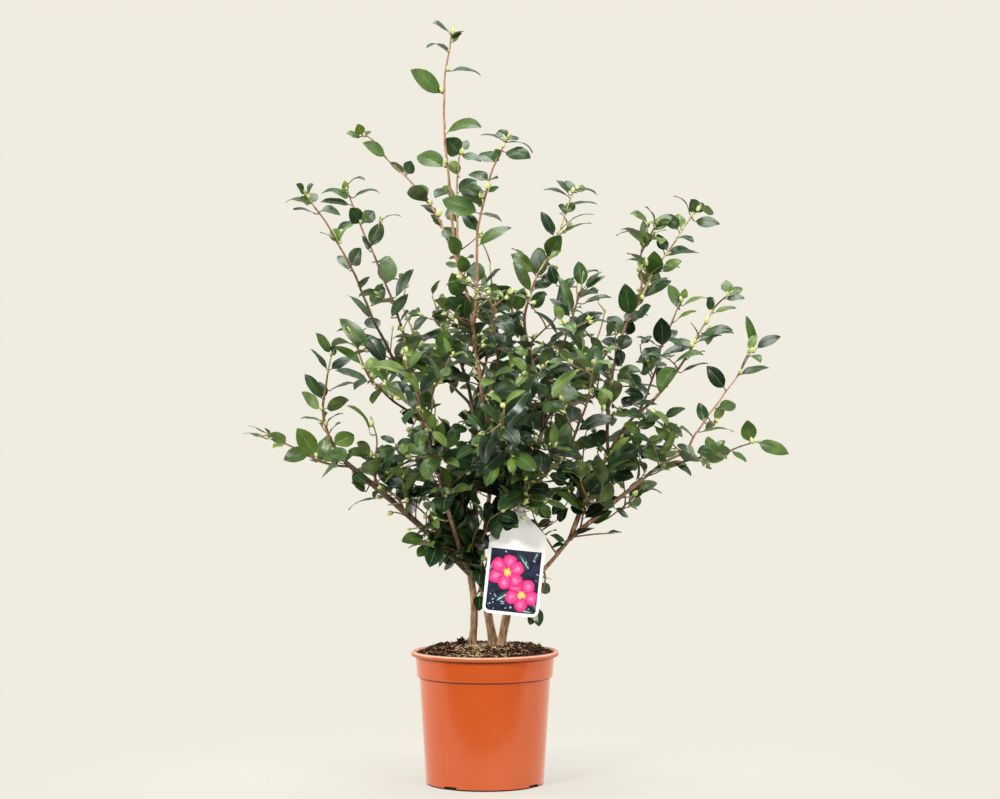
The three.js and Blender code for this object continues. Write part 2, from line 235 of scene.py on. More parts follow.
pot_mat = patterned(
    "pot_plastic",
    [(0.3, rgb(193, 81, 30)), (0.5, rgb(197, 85, 33)), (0.7, rgb(201, 90, 38))],
    9, 4, 0.2, 0.5, coat=0.25, rough_range=(0.13, 0.24),
)
bump(pot_mat, noise_node(pot_mat.node_tree, 34, 3), 0.25, 0.0012)
# the inside of the pot is the same plastic painted dark red-brown: painted shade
pot_inside_shade_mat = patterned("pot_inside_painted_shade", [(0.35, rgb(112, 48, 30)), (0.65, rgb(136, 62, 40))], 60, 3, 0.6, 0.3)
# the creases under the lip and under the step: painted shade, darker than the plastic
pot_crease_shade_mat = patterned("pot_crease_painted_shade", [(0.35, rgb(122, 40, 12)), (0.65, rgb(142, 52, 20))], 60, 3, 0.5, 0.3)
pot_lip_mat = patterned("pot_lip", [(0.3, rgb(176, 88, 46)), (0.7, rgb(186, 98, 54))], 60, 3, 0.42, 0.3)
# the pale pink top edge of the lip: a painted highlight
pot_edge_highlight_mat = patterned("pot_edge_painted_highlight", [(0.3, rgb(224, 164, 138)), (0.7, rgb(238, 182, 156))], 60, 3, 0.5, 0.3)
# the near-black foot band and notch faces: painted contact shadow and painted shade
pot_foot_shade_mat = patterned("pot_foot_painted_shade", [(0.3, rgb(38, 12, 6)), (0.7, rgb(58, 20, 10))], 60, 3, 0.7, 0.2)

soil_mat = patterned(
    "compost",
    [(0.28, rgb(16, 10, 8)), (0.45, rgb(42, 28, 20)), (0.6, rgb(74, 51, 37)), (0.76, rgb(116, 84, 58)), (0.9, rgb(156, 124, 88))],
    420, 9, 0.95, 0.12,
)
bump(soil_mat, noise_node(soil_mat.node_tree, 700, 8, 0.7), 0.9, 0.002)


def crumbly(name, r, g, b):
    return patterned(name, [(0.3, rgb(r * 0.6, g * 0.6, b * 0.6)), (0.55, rgb(r, g, b)), (0.8, rgb(min(255, r * 1.25), min(255, g * 1.22), min(255, b * 1.2)))], 650, 4, 0.95, 0.12)


CRUMB_MATS = [
    crumbly("crumb_black", 20, 13, 11),
    crumbly("crumb_brown", 68, 45, 33),
    crumbly("crumb_tan", 182, 148, 104),
    crumbly("crumb_straw", 238, 214, 170),
    crumbly("crumb_moss", 88, 88, 48),
    crumbly("crumb_red", 92, 50, 38),
]

card_mat = patterned("card_white", [(0.3, rgb(238, 238, 234)), (0.7, rgb(246, 246, 243))], 30, 2, 0.34, 0.5, coat=0.3)

# ------------------------------------------------------------------ mesh helpers


class Build:
    """Gathers many small meshes into one object."""

    def __init__(self, name):
        self.name, self.v, self.f, self.m, self.n = name, [], [], [], 0
        self.sharp = []

    def add(self, verts, faces, mats, sharp=()):
        base = self.n
        self.v.append(np.asarray(verts, dtype=np.float64) * MM)
        self.n += len(verts)
        for f in faces:
            self.f.append([i + base for i in f])
        self.m.extend([mats] * len(faces) if isinstance(mats, int) else mats)
        self.sharp.extend((a + base, b + base) for a, b in sharp)

    def tris(self):
        return sum(len(f) - 2 for f in self.f)

    def make(self, materials, smooth=True):
        me = bpy.data.meshes.new(self.name)
        v = np.concatenate(self.v) if self.v else np.zeros((0, 3))
        me.from_pydata(v.tolist(), [], self.f)
        for m in materials:
            me.materials.append(m)
        me.polygons.foreach_set("material_index", np.array(self.m, dtype=np.int32))
        me.polygons.foreach_set("use_smooth", np.full(len(self.f), smooth))
        if self.sharp:
            want = {(min(a, b), max(a, b)) for a, b in self.sharp}
            ev = np.empty(len(me.edges) * 2, dtype=np.int32)
            me.edges.foreach_get("vertices", ev)
            ev = ev.reshape(-1, 2)
            flags = [(min(a, b), max(a, b)) in want for a, b in ev.tolist()]
            me.attributes.new("sharp_edge", "BOOLEAN", "EDGE").data.foreach_set("value", flags)
        me.update()
        ob = bpy.data.objects.new(self.name, me)
        bpy.context.collection.objects.link(ob)
        return ob


def frames_along(pts):
    """Tangents and two crosswise axes that turn as little as they can along a path."""
    n = len(pts)
    T = [(pts[min(i + 1, n - 1)] - pts[max(i - 1, 0)]).normalized() for i in range(n)]
    a = T[0].orthogonal().normalized()
    N = []
    for t in T:
        a = (a - t * a.dot(t))
        a = a.normalized() if a.length > 1e-6 else t.orthogonal().normalized()
        N.append(a.copy())
    return T, N, [t.cross(a) for t, a in zip(T, N)]


def tube(build, pts, radii, sides, mats, relief=None, cap=True):
    T, N, B = frames_along(pts)
    verts, faces, fm = [], [], []
    for i, p in enumerate(pts):
        for k in range(sides):
            a = 2 * math.pi * k / sides
            d = N[i] * math.cos(a) + B[i] * math.sin(a)
            r = radii[i]
            if relief:
                r += relief(p + d * radii[i], i, a)
            verts.append(p + d * r)
    for i in range(len(pts) - 1):
        for k in range(sides):
            q = (k + 1) % sides
            faces.append((i * sides + k, i * sides + q, (i + 1) * sides + q, (i + 1) * sides + k))
            fm.append(mats if isinstance(mats, int) else mats[i])
    if cap:
        faces.append(tuple(range(sides - 1, -1, -1)))
        fm.append(fm[0])
        faces.append(tuple((len(pts) - 1) * sides + k for k in range(sides)))
        fm.append(fm[-2] if len(fm) > 1 else fm[0])
    build.add([tuple(v) for v in verts], faces, fm)


def smooth_path(pts, step):
    """A Catmull-Rom curve through the points, sampled about every step mm."""
    if len(pts) == 2:
        n = max(2, int((pts[1] - pts[0]).length / step))
        return [pts[0].lerp(pts[1], i / n) for i in range(n + 1)]
    P = [pts[0] * 2 - pts[1]] + list(pts) + [pts[-1] * 2 - pts[-2]]
    out = []
    for i in range(1, len(P) - 2):
        a, b, c, d = P[i - 1], P[i], P[i + 1], P[i + 2]
        n = max(1, int(round((c - b).length / step)))
        for k in range(n):
            t = k / n
            out.append(
                0.5 * ((b * 2) + (c - a) * t + (a * 2 - b * 5 + c * 4 - d) * t * t + (b * 3 - a - c * 3 + d) * t ** 3)
            )
    out.append(pts[-1].copy())
    return out


# ------------------------------------------------------------------ the limbs, as the CAD has them
STEM_FOOT_Z = 178.35
LIMBS = [  # name, foot, tip, bow of the middle, radius at the foot, radius at the tip, root flare
    ("left_stem", (-17, 6, STEM_FOOT_Z), (-19, 2, 269), (4, 0, 0), 4.7, 4.4, 2.6),
    ("middle_stem", (11, 6, STEM_FOOT_Z), (-9, 14, 289), (0, 1, 0), 5.6, 4.5, 2.6),
    ("right_stem", (21, -4, STEM_FOOT_Z), (34, -8, 241), (-1, 0, 0), 5.2, 5.0, 2.2),
    ("bough_left_low", (-19, 2, 270), (-176, -47, 414), (2, 0, 2), 4.6, 3.2, 0),
    ("bough_left_upper", (-19, 3, 270), (-94, 16, 506), (4, 4, -6), 3.5, 2.5, 0),
    ("bough_middle", (-9, 14, 290), (-15, 34, 478), (-2, 2, 0), 4.0, 2.9, 0),
    ("bough_back", (-8, 15, 288), (10, 104, 432), (2, -8, -12), 3.4, 2.6, 0),
    ("bough_leader", (34, -8, 242), (-4, -2, 505), (6, 3, 0), 4.4, 3.2, 0),
    ("bough_right_low", (35, -8, 241), (109, -15, 316), (1, 0, -5), 4.8, 4.2, 0),
    ("bough_right_rise", (110, -15, 317), (158, -24, 424), (-2, 0, 3), 3.4, 2.7, 0),
    ("bough_right_out", (110, -15, 317), (194, -46, 388), (0, 0, 0), 3.2, 2.4, 0),
    ("bough_centre", (29, -4, 300), (80, 30, 470), (-3, 2, -6), 3.4, 2.7, 0),
    ("bough_front", (30, -8, 292), (106, -98, 428), (-19, -1, 4), 3.0, 2.2, 0),
    ("bough_front_left", (-20, 1, 272), (-58, -92, 402), (0, -5, -9), 3.2, 2.4, 0),
]


def limb_path(foot, tip, bow, n):
    a, b, w = Vector(foot), Vector(tip), Vector(bow)
    mid = a.lerp(b, 0.5) + w
    c = mid * 2 - (a + b) * 0.5
    return [a * (1 - t) ** 2 + c * 2 * t * (1 - t) + b * t * t for t in (i / n for i in range(n + 1))]


# The growing skeleton: every point of every limb and shoot, with its parent.
class Skeleton:
    def __init__(self):
        self.p, self.up, self.shoot, self.child_at = [], [], [], []
        self.shoots = []

    def add(self, pts, parent, info):
        sid = len(self.shoots)
        ids = []
        for q in pts:
            self.p.append(q)
            self.up.append(parent)
            self.shoot.append(sid)
            parent = len(self.p) - 1
            ids.append(parent)
        info["ids"], info["pts"] = ids, pts
        info["length"] = sum((b - a).length for a, b in zip(pts, pts[1:]))
        self.shoots.append(info)
        return sid

    def nearest(self, q, kinds=None):
        best, bd = 0, 1e9
        for i, p in enumerate(self.p):
            if kinds and self.shoots[self.shoot[i]]["kind"] not in kinds:
                continue
            d = (p - q).length_squared
            if d < bd:
                best, bd = i, d
        return best


sk = Skeleton()
for name, foot, tip, bow, r0, r1, flare in LIMBS:
    n = max(6, int((Vector(tip) - Vector(foot)).length / 8))
    pts = limb_path(foot, tip, bow, n)
    parent = -1 if name.endswith("stem") else sk.nearest(pts[0])
    sk.add(pts, parent, {"kind": "limb", "name": name, "r0": r0, "r1": r1, "flare": flare})

# Leading shoots: name, points (px, py, depth), radius at the foot, radius at the tip,
# leaf spacing, how much of the foot is bare, group
LEADS = [
    ("leader", [(482, 392, -2), (475, 345, -4), (470, 305, -4), (458, 262, 0), (451, 210, 0), (446, 150, -4), (444, 97, -8), (447, 66, -10), (452, 34, -10)], 2.4, 1.0, 30, 0.40, "top"),
    ("top_middle", [(461, 280, 2), (457, 238, 14), (457, 189, 30), (460, 153, 42)], 1.9, 0.9, 17, 0.10, "top"),
    ("top_right", [(474, 325, -5), (477, 285, -16), (478, 231, -45), (491, 175, -78), (503, 147, -92), (509, 137, -97)], 2.0, 1.0, 18, 0.15, "top"),
    ("top_left", [(460, 284, 0), (453, 252, 14), (436, 215, 38), (411, 181, 62), (390, 162, 76), (375, 143, 86), (359, 132, 93)], 1.9, 0.9, 19, 0.22, "top"),
    ("left_outer", [(412, 390, 16), (402, 378, 0), (387, 346, -35), (374, 322, -55), (360, 287, -75), (346, 257, -92), (329, 227, -106), (314, 206, -116), (305, 192, -122)], 2.1, 0.9, 17, 0.16, "left"),
    ("left_inner", [(412, 390, 16), (409, 362, 26), (402, 328, 44), (386, 285, 70), (367, 240, 92), (352, 202, 108), (346, 186, 113)], 2.0, 0.9, 17, 0.16, "left"),
    ("left_middle", [(423, 418, 10), (404, 409, -30), (378, 387, -80), (366, 370, -105), (356, 345, -124), (350, 332, -131)], 1.8, 0.9, 15, 0.35, "left"),
    ("left_small", [(374, 487, -38), (375, 465, -40), (377, 440, -44), (372, 421, -48)], 1.4, 0.8, 14, 0.2, "left"),
    ("left_spray", [(347, 463, -47), (333, 445, -52), (326, 430, -55), (323, 408, -58), (327, 383, -61), (331, 357, -64)], 2.4, 0.8, 11, 0.12, "left"),
    ("far_left", [(352, 470, -45), (322, 463, -55), (304, 453, -62), (287, 444, -68), (270, 437, -74), (262, 436, -77)], 1.6, 0.8, 14, 0.12, "left"),
    ("right_spray", [(637, 483, -46), (650, 473, -40), (665, 462, -20), (684, 453, 0), (695, 435, 18), (710, 414, 36), (726, 392, 54), (739, 374, 68), (752, 351, 82)], 1.9, 0.8, 16, 0.16, "right"),
    ("right_low", [(655, 469, -34), (680, 462, -55), (699, 458, -66), (726, 451, -80), (745, 445, -88), (755, 442, -91)], 1.6, 0.8, 17, 0.15, "right"),
    ("right_upper", [(608, 455, -24), (619, 433, -30), (636, 415, -38), (655, 399, -50), (680, 367, -66), (703, 328, -84), (716, 307, -92), (729, 294, -97)], 2.2, 0.9, 17, 0.22, "right"),
    ("right_upper_2", [(640, 412, -40), (655, 372, -30), (662, 345, -20), (676, 313, -14), (683, 296, -10)], 1.6, 0.9, 15, 0.25, "right"),
    ("right_top", [(608, 455, -24), (607, 425, -10), (610, 392, 8), (615, 361, 28), (626, 323, 48), (641, 298, 62), (653, 275, 74), (668, 252, 86), (689, 221, 102), (697, 209, 109)], 2.3, 0.9, 16, 0.3, "right"),
    ("right_top_2", [(641, 298, 62), (641, 270, 90), (642, 248, 115), (648, 227, 138)], 1.5, 0.9, 14, 0.1, "right"),
    ("centre_top", [(547, 418, 30), (538, 385, 38), (528, 345, 50), (525, 313, 62), (534, 284, 80), (546, 259, 98), (559, 231, 116), (567, 208, 128), (574, 191, 136)], 2.4, 1.0, 15, 0.35, "centre"),
    ("centre_right", [(541, 434, 26), (544, 399, -10), (557, 361, -60), (566, 335, -95), (576, 308, -120), (581, 288, -134), (583, 275, -143)], 2.1, 0.9, 16, 0.3, "centre"),
    ("middle_up", [(474, 412, 34), (466, 380, 44), (452, 345, 58), (440, 318, 66), (432, 296, 70)], 2.4, 0.9, 17, 0.3, "centre"),
    ("middle_back", [(474, 412, 34), (480, 385, 70), (488, 350, 110), (492, 300, 150), (490, 262, 178)], 2.2, 0.9, 17, 0.3, "back"),
    ("back_left", [(474, 412, 34), (462, 395, 80), (440, 372, 130), (415, 335, 190), (402, 305, 222)], 2.2, 0.9, 17, 0.3, "back"),
    ("back_right", [(547, 418, 30), (560, 400, 90), (580, 372, 150), (600, 330, 205), (606, 310, 226)], 2.2, 0.9, 17, 0.3, "back"),
    ("back_out", [(493, 446, 104), (496, 430, 150), (500, 412, 210), (500, 402, 262)], 2.2, 0.9, 17, 0.2, "back"),
    ("front_top", [(500, 402, -4), (498, 372, -60), (494, 330, -130), (490, 292, -188)], 2.1, 0.9, 16, 0.3, "front"),
    ("front_left", [(440, 470, -92), (430, 440, -130), (418, 400, -190), (405, 352, -236)], 2.2, 0.9, 16, 0.2, "front"),
    ("front_right", [(570, 448, -98), (578, 425, -140), (588, 398, -190), (594, 362, -236)], 2.1, 0.9, 16, 0.2, "front"),
    ("front_out", [(498, 462, -50), (500, 452, -110), (502, 436, -180), (504, 405, -252)], 2.1, 0.9, 16, 0.3, "front"),
]
LOW_TWIGS = [  # short shoots low in the crown and between the stems
    ("low_1", [(470, 572, 2), (462, 560, -8), (452, 549, -20), (440, 545, -30), (430, 541, -38)], 12),
    ("low_2", [(455, 548, -6), (440, 530, -22), (424, 527, -34), (411, 529, -42)], 12),
    ("low_3", [(474, 560, 4), (479, 546, -28), (485, 531, -60), (490, 519, -72), (503, 511, -78)], 12),
    ("low_4", [(478, 596, 8), (481, 585, -12), (480, 574, -26), (482, 560, -34)], 11),
    ("low_5", [(478, 606, 8), (482, 600, -6), (483, 594, -18)], 10),
    ("low_6", [(545, 570, -8), (545, 580, -6), (541, 592, -2), (537, 606, -6)], 13),
    ("low_7", [(556, 556, -10), (548, 540, -28), (538, 524, -42), (532, 510, -52)], 12),
    ("low_8", [(560, 552, -12), (566, 541, -24), (575, 536, -34), (600, 534, -50), (614, 533, -58)], 13),
    ("low_9", [(580, 530, -14), (584, 514, -30), (592, 504, -46), (606, 500, -60)], 12),
    ("low_10", [(590, 522, -18), (604, 520, -4), (620, 510, 14), (634, 505, 30)], 13),
    ("low_11", [(438, 530, -22), (420, 510, -44), (404, 503, -60), (388, 505, -74)], 13),
    ("low_12", [(410, 515, -32), (396, 497, -20), (384, 490, 4)], 12),
    ("low_13", [(490, 540, 10), (500, 520, -20), (512, 508, -48), (526, 500, -70)], 12),
    ("low_14", [(460, 540, 0), (448, 520, 20), (436, 508, 44), (428, 500, 66)], 12),
    ("low_15", [(500, 520, 20), (510, 512, 50), (524, 508, 80)], 12),
    ("low_16", [(478, 520, 10), (466, 505, -30), (458, 492, -60), (450, 488, -84)], 12),
    ("low_17", [(486, 590, 10), (484, 572, -6), (488, 556, -20), (494, 540, -34)], 11),
    ("low_18", [(484, 560, 12), (472, 540, -8), (462, 522, -30), (454, 508, -46)], 11),
    ("low_19", [(466, 568, 0), (458, 552, 10), (446, 540, 22), (434, 533, 30)], 11),
    ("low_20", [(482, 540, 14), (492, 522, 0), (502, 508, -14), (514, 500, -26)], 11),
    ("low_21", [(440, 536, -20), (428, 540, -30), (416, 545, -40), (408, 548, -46)], 12),
    ("low_22", [(420, 520, -28), (404, 515, -40), (392, 512, -52)], 12),
    ("low_23", [(466, 566, 2), (462, 550, -18), (458, 534, -34), (452, 520, -46), (446, 508, -54)], 12),
    ("low_24", [(474, 566, 2), (472, 552, -24), (474, 538, -44), (480, 524, -58), (483, 512, -64)], 12),
]
for name, pts, gap in LOW_TWIGS:
    LEADS.append((name, pts, 1.35, 0.8, gap, 0.18, "left" if pts[-1][0] < 470 else "centre" if pts[-1][0] < 545 else "right"))
for name, pts, r0, r1, gap, bare, group in LEADS:
    P = [at(*p) for p in pts]
    near = sk.nearest(P[0])
    P[0] = sk.p[near].copy()
    path = smooth_path(P, 6)
    # growth is never ruler straight
    for i in range(2, len(path) - 1):
        w = noise.noise_vector(path[i] * 0.03 + Vector((0, 0, len(sk.shoots)))) * 1.8
        path[i] = path[i] + w
    sk.add(path, near, {"kind": "lead", "name": name, "r0": r0, "r1": r1, "gap": gap, "bare": bare, "group": group})

# ------------------------------------------------------------------ where the crown is
MASS_NAMES = [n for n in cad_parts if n.startswith(("spray_", "crown_", "skirt_"))]


def solid_tree(name):
    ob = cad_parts[name]
    me = ob.data
    v = [tuple((ob.matrix_world @ x.co) * 1000.0) for x in me.vertices]
    return BVHTree.FromPolygons(v, [tuple(p.vertices) for p in me.polygons]), np.array(v)


TREES = {n: solid_tree(n) for n in sorted(MASS_NAMES)}


def depth_in(name, p):
    """How far inside a mass a point lies, in mm. Negative outside."""
    loc, nor, _, dist = TREES[name][0].find_nearest(p)
    if loc is None:
        return -1e3
    return dist if (p - loc).dot(nor) < 0 else -dist


# Gaps in the crown that the sky shows through: middle and half sizes in the view.
SKY = [
    (554, 319, 5, 5), (612, 460, 6, 5), (466, 250, 4, 6), (401, 303, 6, 6), (587, 408, 5, 5),
    (383, 519, 8, 11), (491, 506, 6, 6), (458, 369, 6, 5),
    (409, 520, 9, 7), (424, 532, 7, 5), (447, 548, 8, 5), (458, 558, 7, 5), (597, 517, 7, 8),
    (561, 603, 10, 16), (620, 265, 12, 9), (634, 240, 7, 6), (531, 216, 9, 12), (693, 419, 6, 6), (431, 291, 6, 6), (367, 324, 6, 6), (332, 393, 6, 5),
    (418, 287, 8, 9), (668, 390, 7, 6), (636, 371, 6, 6), (597, 536, 9, 8), (625, 514, 9, 8), (650, 480, 8, 7), (442, 238, 6, 8), (682, 438, 6, 6),
    (634, 512, 9, 9), (642, 500, 7, 7), (726, 422, 8, 9), (661, 402, 8, 6), (646, 379, 7, 6), (668, 366, 6, 6), (677, 381, 7, 6), (612, 460, 6, 6),
    (574, 236, 8, 8), (403, 433, 7, 7), (376, 336, 6, 6), (427, 303, 6, 9), (453, 453, 6, 6), (440, 398, 6, 6), (611, 497, 7, 6), (699, 473, 12, 11), (712, 476, 8, 11),
    (606, 544, 15, 10), (624, 541, 10, 10), (727, 415, 8, 7), (729, 356, 9, 8), (438, 394, 6, 6), (374, 395, 8, 8),
    (653, 336, 6, 10), (338, 300, 8, 12), (333, 250, 10, 8), (377, 214, 7, 6), (412, 556, 16, 9), (404, 576, 20, 12), (436, 584, 12, 8),
    (335, 275, 15, 15), (371, 396, 9, 9), (441, 254, 9, 10), (629, 274, 8, 9), (681, 274, 9, 9), (465, 246, 7, 8), (738, 345, 9, 12),
    (545, 226, 9, 9), (397, 548, 12, 9), (589, 552, 12, 10),
    (495, 255, 20, 20), (661, 304, 17, 17), (386, 414, 17, 17), (365, 272, 16, 16), (352, 424, 15, 15), (424, 171, 14, 14), (609, 285, 14, 14), (611, 308, 14, 14),
    (508, 276, 14, 14), (351, 239, 14, 14), (383, 316, 14, 14), (462, 398, 14, 14), (683, 331, 13, 13), (562, 527, 13, 13), (641, 330, 12, 12), (533, 321, 12, 12),
    (634, 351, 12, 12), (404, 301, 12, 12), (703, 309, 12, 12), (467, 166, 12, 12), (488, 502, 12, 12), (546, 311, 10, 10), (364, 494, 10, 10), (443, 393, 10, 10),
    (338, 221, 10, 10), (463, 231, 10, 10), (485, 224, 10, 10), (597, 330, 10, 10), (360, 467, 10, 10), (546, 334, 10, 10), (565, 274, 10, 10), (653, 246, 10, 10),
    (337, 377, 9, 9), (354, 366, 9, 9), (451, 417, 9, 9), (541, 283, 9, 9), (650, 432, 9, 9), (670, 236, 9, 9), (294, 440, 8, 8), (310, 425, 8, 8),
    (554, 415, 8, 8), (393, 345, 8, 8), (466, 433, 8, 8), (431, 324, 8, 8), (465, 371, 8, 8), (575, 519, 8, 8), (624, 390, 8, 8), (416, 323, 8, 8),
    (593, 410, 8, 8), (549, 207, 11, 10), (443, 271, 8, 12), (587, 303, 8, 9), (584, 418, 9, 9), (577, 432, 9, 8), (395, 425, 9, 9), (319, 254, 14, 11),
    (397, 526, 14, 12), (380, 507, 12, 9), (443, 410, 8, 7), (635, 248, 8, 8), (424, 230, 12, 8), (587, 455, 7, 6), (449, 293, 8, 9), (717, 323, 9, 7),
    (356, 320, 8, 8), (678, 484, 22, 13), (622, 531, 22, 9), (656, 503, 11, 9), (700, 392, 14, 12), (520, 236, 14, 14), (612, 250, 9, 24), (405, 250, 12, 24),
    (392, 550, 10, 8), (553, 583, 9, 8), (310, 400, 7, 22), (730, 436, 7, 12), (490, 364, 6, 6),
]


def in_sky(p, grow=1.0):
    x, y = seen_at(p)
    return any(((x - a) / (w * grow)) ** 2 + ((y - b) / (h * grow)) ** 2 < 1 for a, b, w, h in SKY)


# Stretches of bough that show through the leaves in front of them.
SEEN_WOOD = [
    [(414, 512), (440, 534), (462, 556), (470, 574)], [(470, 574), (472, 600)], [(546, 572), (566, 552), (590, 528)],
    [(472, 250), (478, 300), (479, 345), (482, 392), (486, 440)], [(462, 262), (468, 310), (470, 350)],
    [(372, 318), (386, 345), (400, 375)], [(388, 290), (400, 328), (408, 360)],
    [(636, 484), (612, 512), (588, 538), (566, 560)], [(352, 466), (390, 492), (420, 512)],
    [(606, 440), (610, 400), (616, 362)], [(526, 318), (532, 290)], [(652, 400), (678, 370)],
]


def hides_wood(p, reach):
    x, y = seen_at(p)
    for line in SEEN_WOOD:
        for (ax, ay), (bx, by) in zip(line, line[1:]):
            t = max(0.0, min(1.0, ((x - ax) * (bx - ax) + (y - ay) * (by - ay)) / ((bx - ax) ** 2 + (by - ay) ** 2)))
            if math.hypot(x - ax - t * (bx - ax), y - ay - t * (by - ay)) < reach:
                return True
    return False


def group_of(name):
    if name.startswith("spray_back") or name.startswith("crown_back") or name == "spray_right_back":
        return "back"
    if name.startswith("spray_front") or name.startswith("crown_front"):
        return "front"
    if name in ("spray_leader", "spray_top_middle", "spray_top_right", "spray_top_left"):
        return "top"
    if "left" in name:
        return "left"
    if "right" in name and "centre" not in name:
        return "right"
    return "centre"


# ------------------------------------------------------------------ the branching rule
# Tips are scattered through each mass, no closer together than its spacing. The nearest
# ones are reached first: each grows a shoot from the point of the skeleton that lies best
# behind it, so the wood forks outwards and upwards, as a shrub's does.
AXIS = Vector((10, 0, 250))


def outward(p):
    d = Vector((p.x - AXIS.x, p.y - AXIS.y, 0))
    d = d.normalized() if d.length > 1 else Vector((0, 0, 0))
    return (d * 0.65 + Vector((0, 0, 0.85))).normalized()


BARE_SPRAYS = {  # these are single shoots in leaf, with no side shoots of their own
    "spray_leader", "spray_top_left", "spray_top_right", "spray_top_middle", "spray_left", "spray_far_left",
    "spray_right_low",
}
LIGHT_SPRAYS = {"spray_left_outer", "spray_left_inner", "spray_right", "spray_right_top", "spray_right_upper", "spray_left_middle"}


def spacing_of(name):
    if name in BARE_SPRAYS:
        return None
    if name in LIGHT_SPRAYS:
        return 66.0
    if name.startswith("skirt") or name.startswith("crown_low"):
        return 30.0
    if name.startswith("crown"):
        return 40.0
    return 49.0


def clear_of_leads(q):
    return all((q - sk.p[i]).length > 24 for i in range(len(sk.p)) if sk.shoots[sk.shoot[i]]["kind"] == "lead")


tips = []
for name in sorted(MASS_NAMES):
    gap = spacing_of(name)
    if gap is None:
        continue
    v = TREES[name][1]
    lo, hi = v.min(axis=0), v.max(axis=0)
    mine = []
    for _ in range(1100):
        q = Vector([rnd.uniform(lo[i], hi[i]) for i in range(3)])
        if depth_in(name, q) < 2 or in_sky(q, 1.1):
            continue
        if any((q - t).length < gap for t in mine) or any((q - t[0]).length < gap * 0.85 for t in tips):
            continue
        if gap > 40 and not clear_of_leads(q):
            continue
        mine.append(q)
    tips.extend((q, name) for q in mine)

left = list(range(len(tips)))
best = {}


def cost(i, q):
    p = sk.p[i]
    d = q - p
    L = d.length
    info = sk.shoots[sk.shoot[i]]
    if L < 26 or L > 190:
        return 1e9
    if info["kind"] == "limb" and p.z < 265:
        return 1e9
    ahead = d.dot(outward(p)) / L
    return L * (1 + 0.9 * (1 - ahead)) + (12 if info["kind"] == "side" else 0)


def scan(q, ids):
    b, bc = -1, 1e9
    for i in ids:
        c = cost(i, q)
        if c < bc:
            b, bc = i, c
    return b, bc


for k in left:
    best[k] = scan(tips[k][0], range(len(sk.p)))
used = {}
while left:
    k = min(left, key=lambda j: best[j][1])
    left.remove(k)
    q, mass = tips[k]
    i, c = best[k]
    if i < 0:
        continue
    p = sk.p[i]
    par = sk.up[i]
    along = (p - sk.p[par]).normalized() if par >= 0 else Vector((0, 0, 1))
    d = q - p
    L = d.length
    m0 = (along * 0.45 + d.normalized() * 0.75 + outward(p) * 0.15).normalized() * L
    m1 = (d.normalized() * 0.7 + outward(q) * 0.55 + Vector((0, 0, 0.15))).normalized() * L
    n = max(4, int(L / 6))
    path = []
    for s in range(n + 1):
        t = s / n
        h = p * (2 * t ** 3 - 3 * t * t + 1) + m0 * (t ** 3 - 2 * t * t + t) + q * (-2 * t ** 3 + 3 * t * t) + m1 * (t ** 3 - t * t)
        if 0 < s < n:
            h = h + noise.noise_vector(h * 0.035) * 1.6
        path.append(h)
    sid = sk.add(path, i, {"kind": "side", "name": f"side_{k}", "mass": mass, "group": group_of(mass)})
    new = sk.shoots[sid]["ids"][2:-2]
    for j in left:
        b = scan(tips[j][0], new)
        if b[1] < best[j][1]:
            best[j] = b

# short spurs along the boughs and the feet of the long shoots
for info in list(sk.shoots):
    if info["kind"] == "limb" and info["name"].endswith("stem"):
        continue
    ids, pts = info["ids"], info["pts"]
    if info["kind"] == "side" or info["name"].startswith("low_") or info["length"] < 60:
        continue
    at_s, acc_s = info["length"] * (0.34 if info["kind"] == "limb" else 0.04), 0.0
    end_s = info["length"] * (0.98 if info["kind"] == "limb" else 0.36)
    for i in range(1, len(pts) - 2):
        acc_s += (pts[i] - pts[i - 1]).length
        if acc_s < at_s or acc_s > end_s:
            continue
        at_s = acc_s + rnd.uniform(20, 34)
        p = pts[i]
        if p.z < 318:
            continue
        t = (pts[i + 1] - pts[i - 1]).normalized()
        a = t.orthogonal().normalized()
        th = rnd.uniform(0, 2 * math.pi)
        d = a * math.cos(th) + t.cross(a) * math.sin(th)
        d = (d + t * 0.35 + Vector((0, 0, 0.25))).normalized()
        L = rnd.uniform(20, 42)
        q = p + d * L + Vector((0, 0, L * 0.12))
        if in_sky(q, 1.1) or q.z < 300:
            continue
        n = 5
        path = [p.lerp(q, k / n) + Vector((0, 0, -1.6 * math.sin(math.pi * k / n))) for k in range(n + 1)]
        gname = "left" if q.x < -75 else "right" if q.x > 105 else "front" if q.y < -60 else "back" if q.y > 70 else "centre"
        if q.z > 640:
            gname = "top"
        sk.add(path, ids[i], {"kind": "side", "name": "spur", "mass": "", "group": gname})

# thickness: a shoot is as thick as what it carries
carry = {}
for s in range(len(sk.shoots) - 1, -1, -1):
    info = sk.shoots[s]
    par = sk.up[info["ids"][0]]
    own = info["length"] + carry.get(s, 0.0)
    info["carry"] = own
    if par >= 0:
        ps = sk.shoot[par]
        carry[ps] = carry.get(ps, 0.0) + own
for info in sk.shoots:
    if info["kind"] == "side":
        info["r0"] = min(2.1, 0.95 + 0.0022 * info["carry"])
        info["r1"] = 0.75
        info["gap"] = rnd.uniform(10.8, 13.8)
        info["bare"] = 0.0
        info["leafy"] = rnd.uniform(80, 112)

# ------------------------------------------------------------------ leaves
LEAF_T = np.array([0.0, 0.06, 0.17, 0.32, 0.49, 0.66, 0.81, 0.92, 1.0])
LEAF_W = np.array([0.07, 0.35, 0.74, 0.97, 1.0, 0.88, 0.62, 0.32, 0.03])
LEAF_U = np.array([-1.0, -0.52, -0.036, 0.036, 0.52, 1.0])
ROWS, COLS = len(LEAF_T), len(LEAF_U)


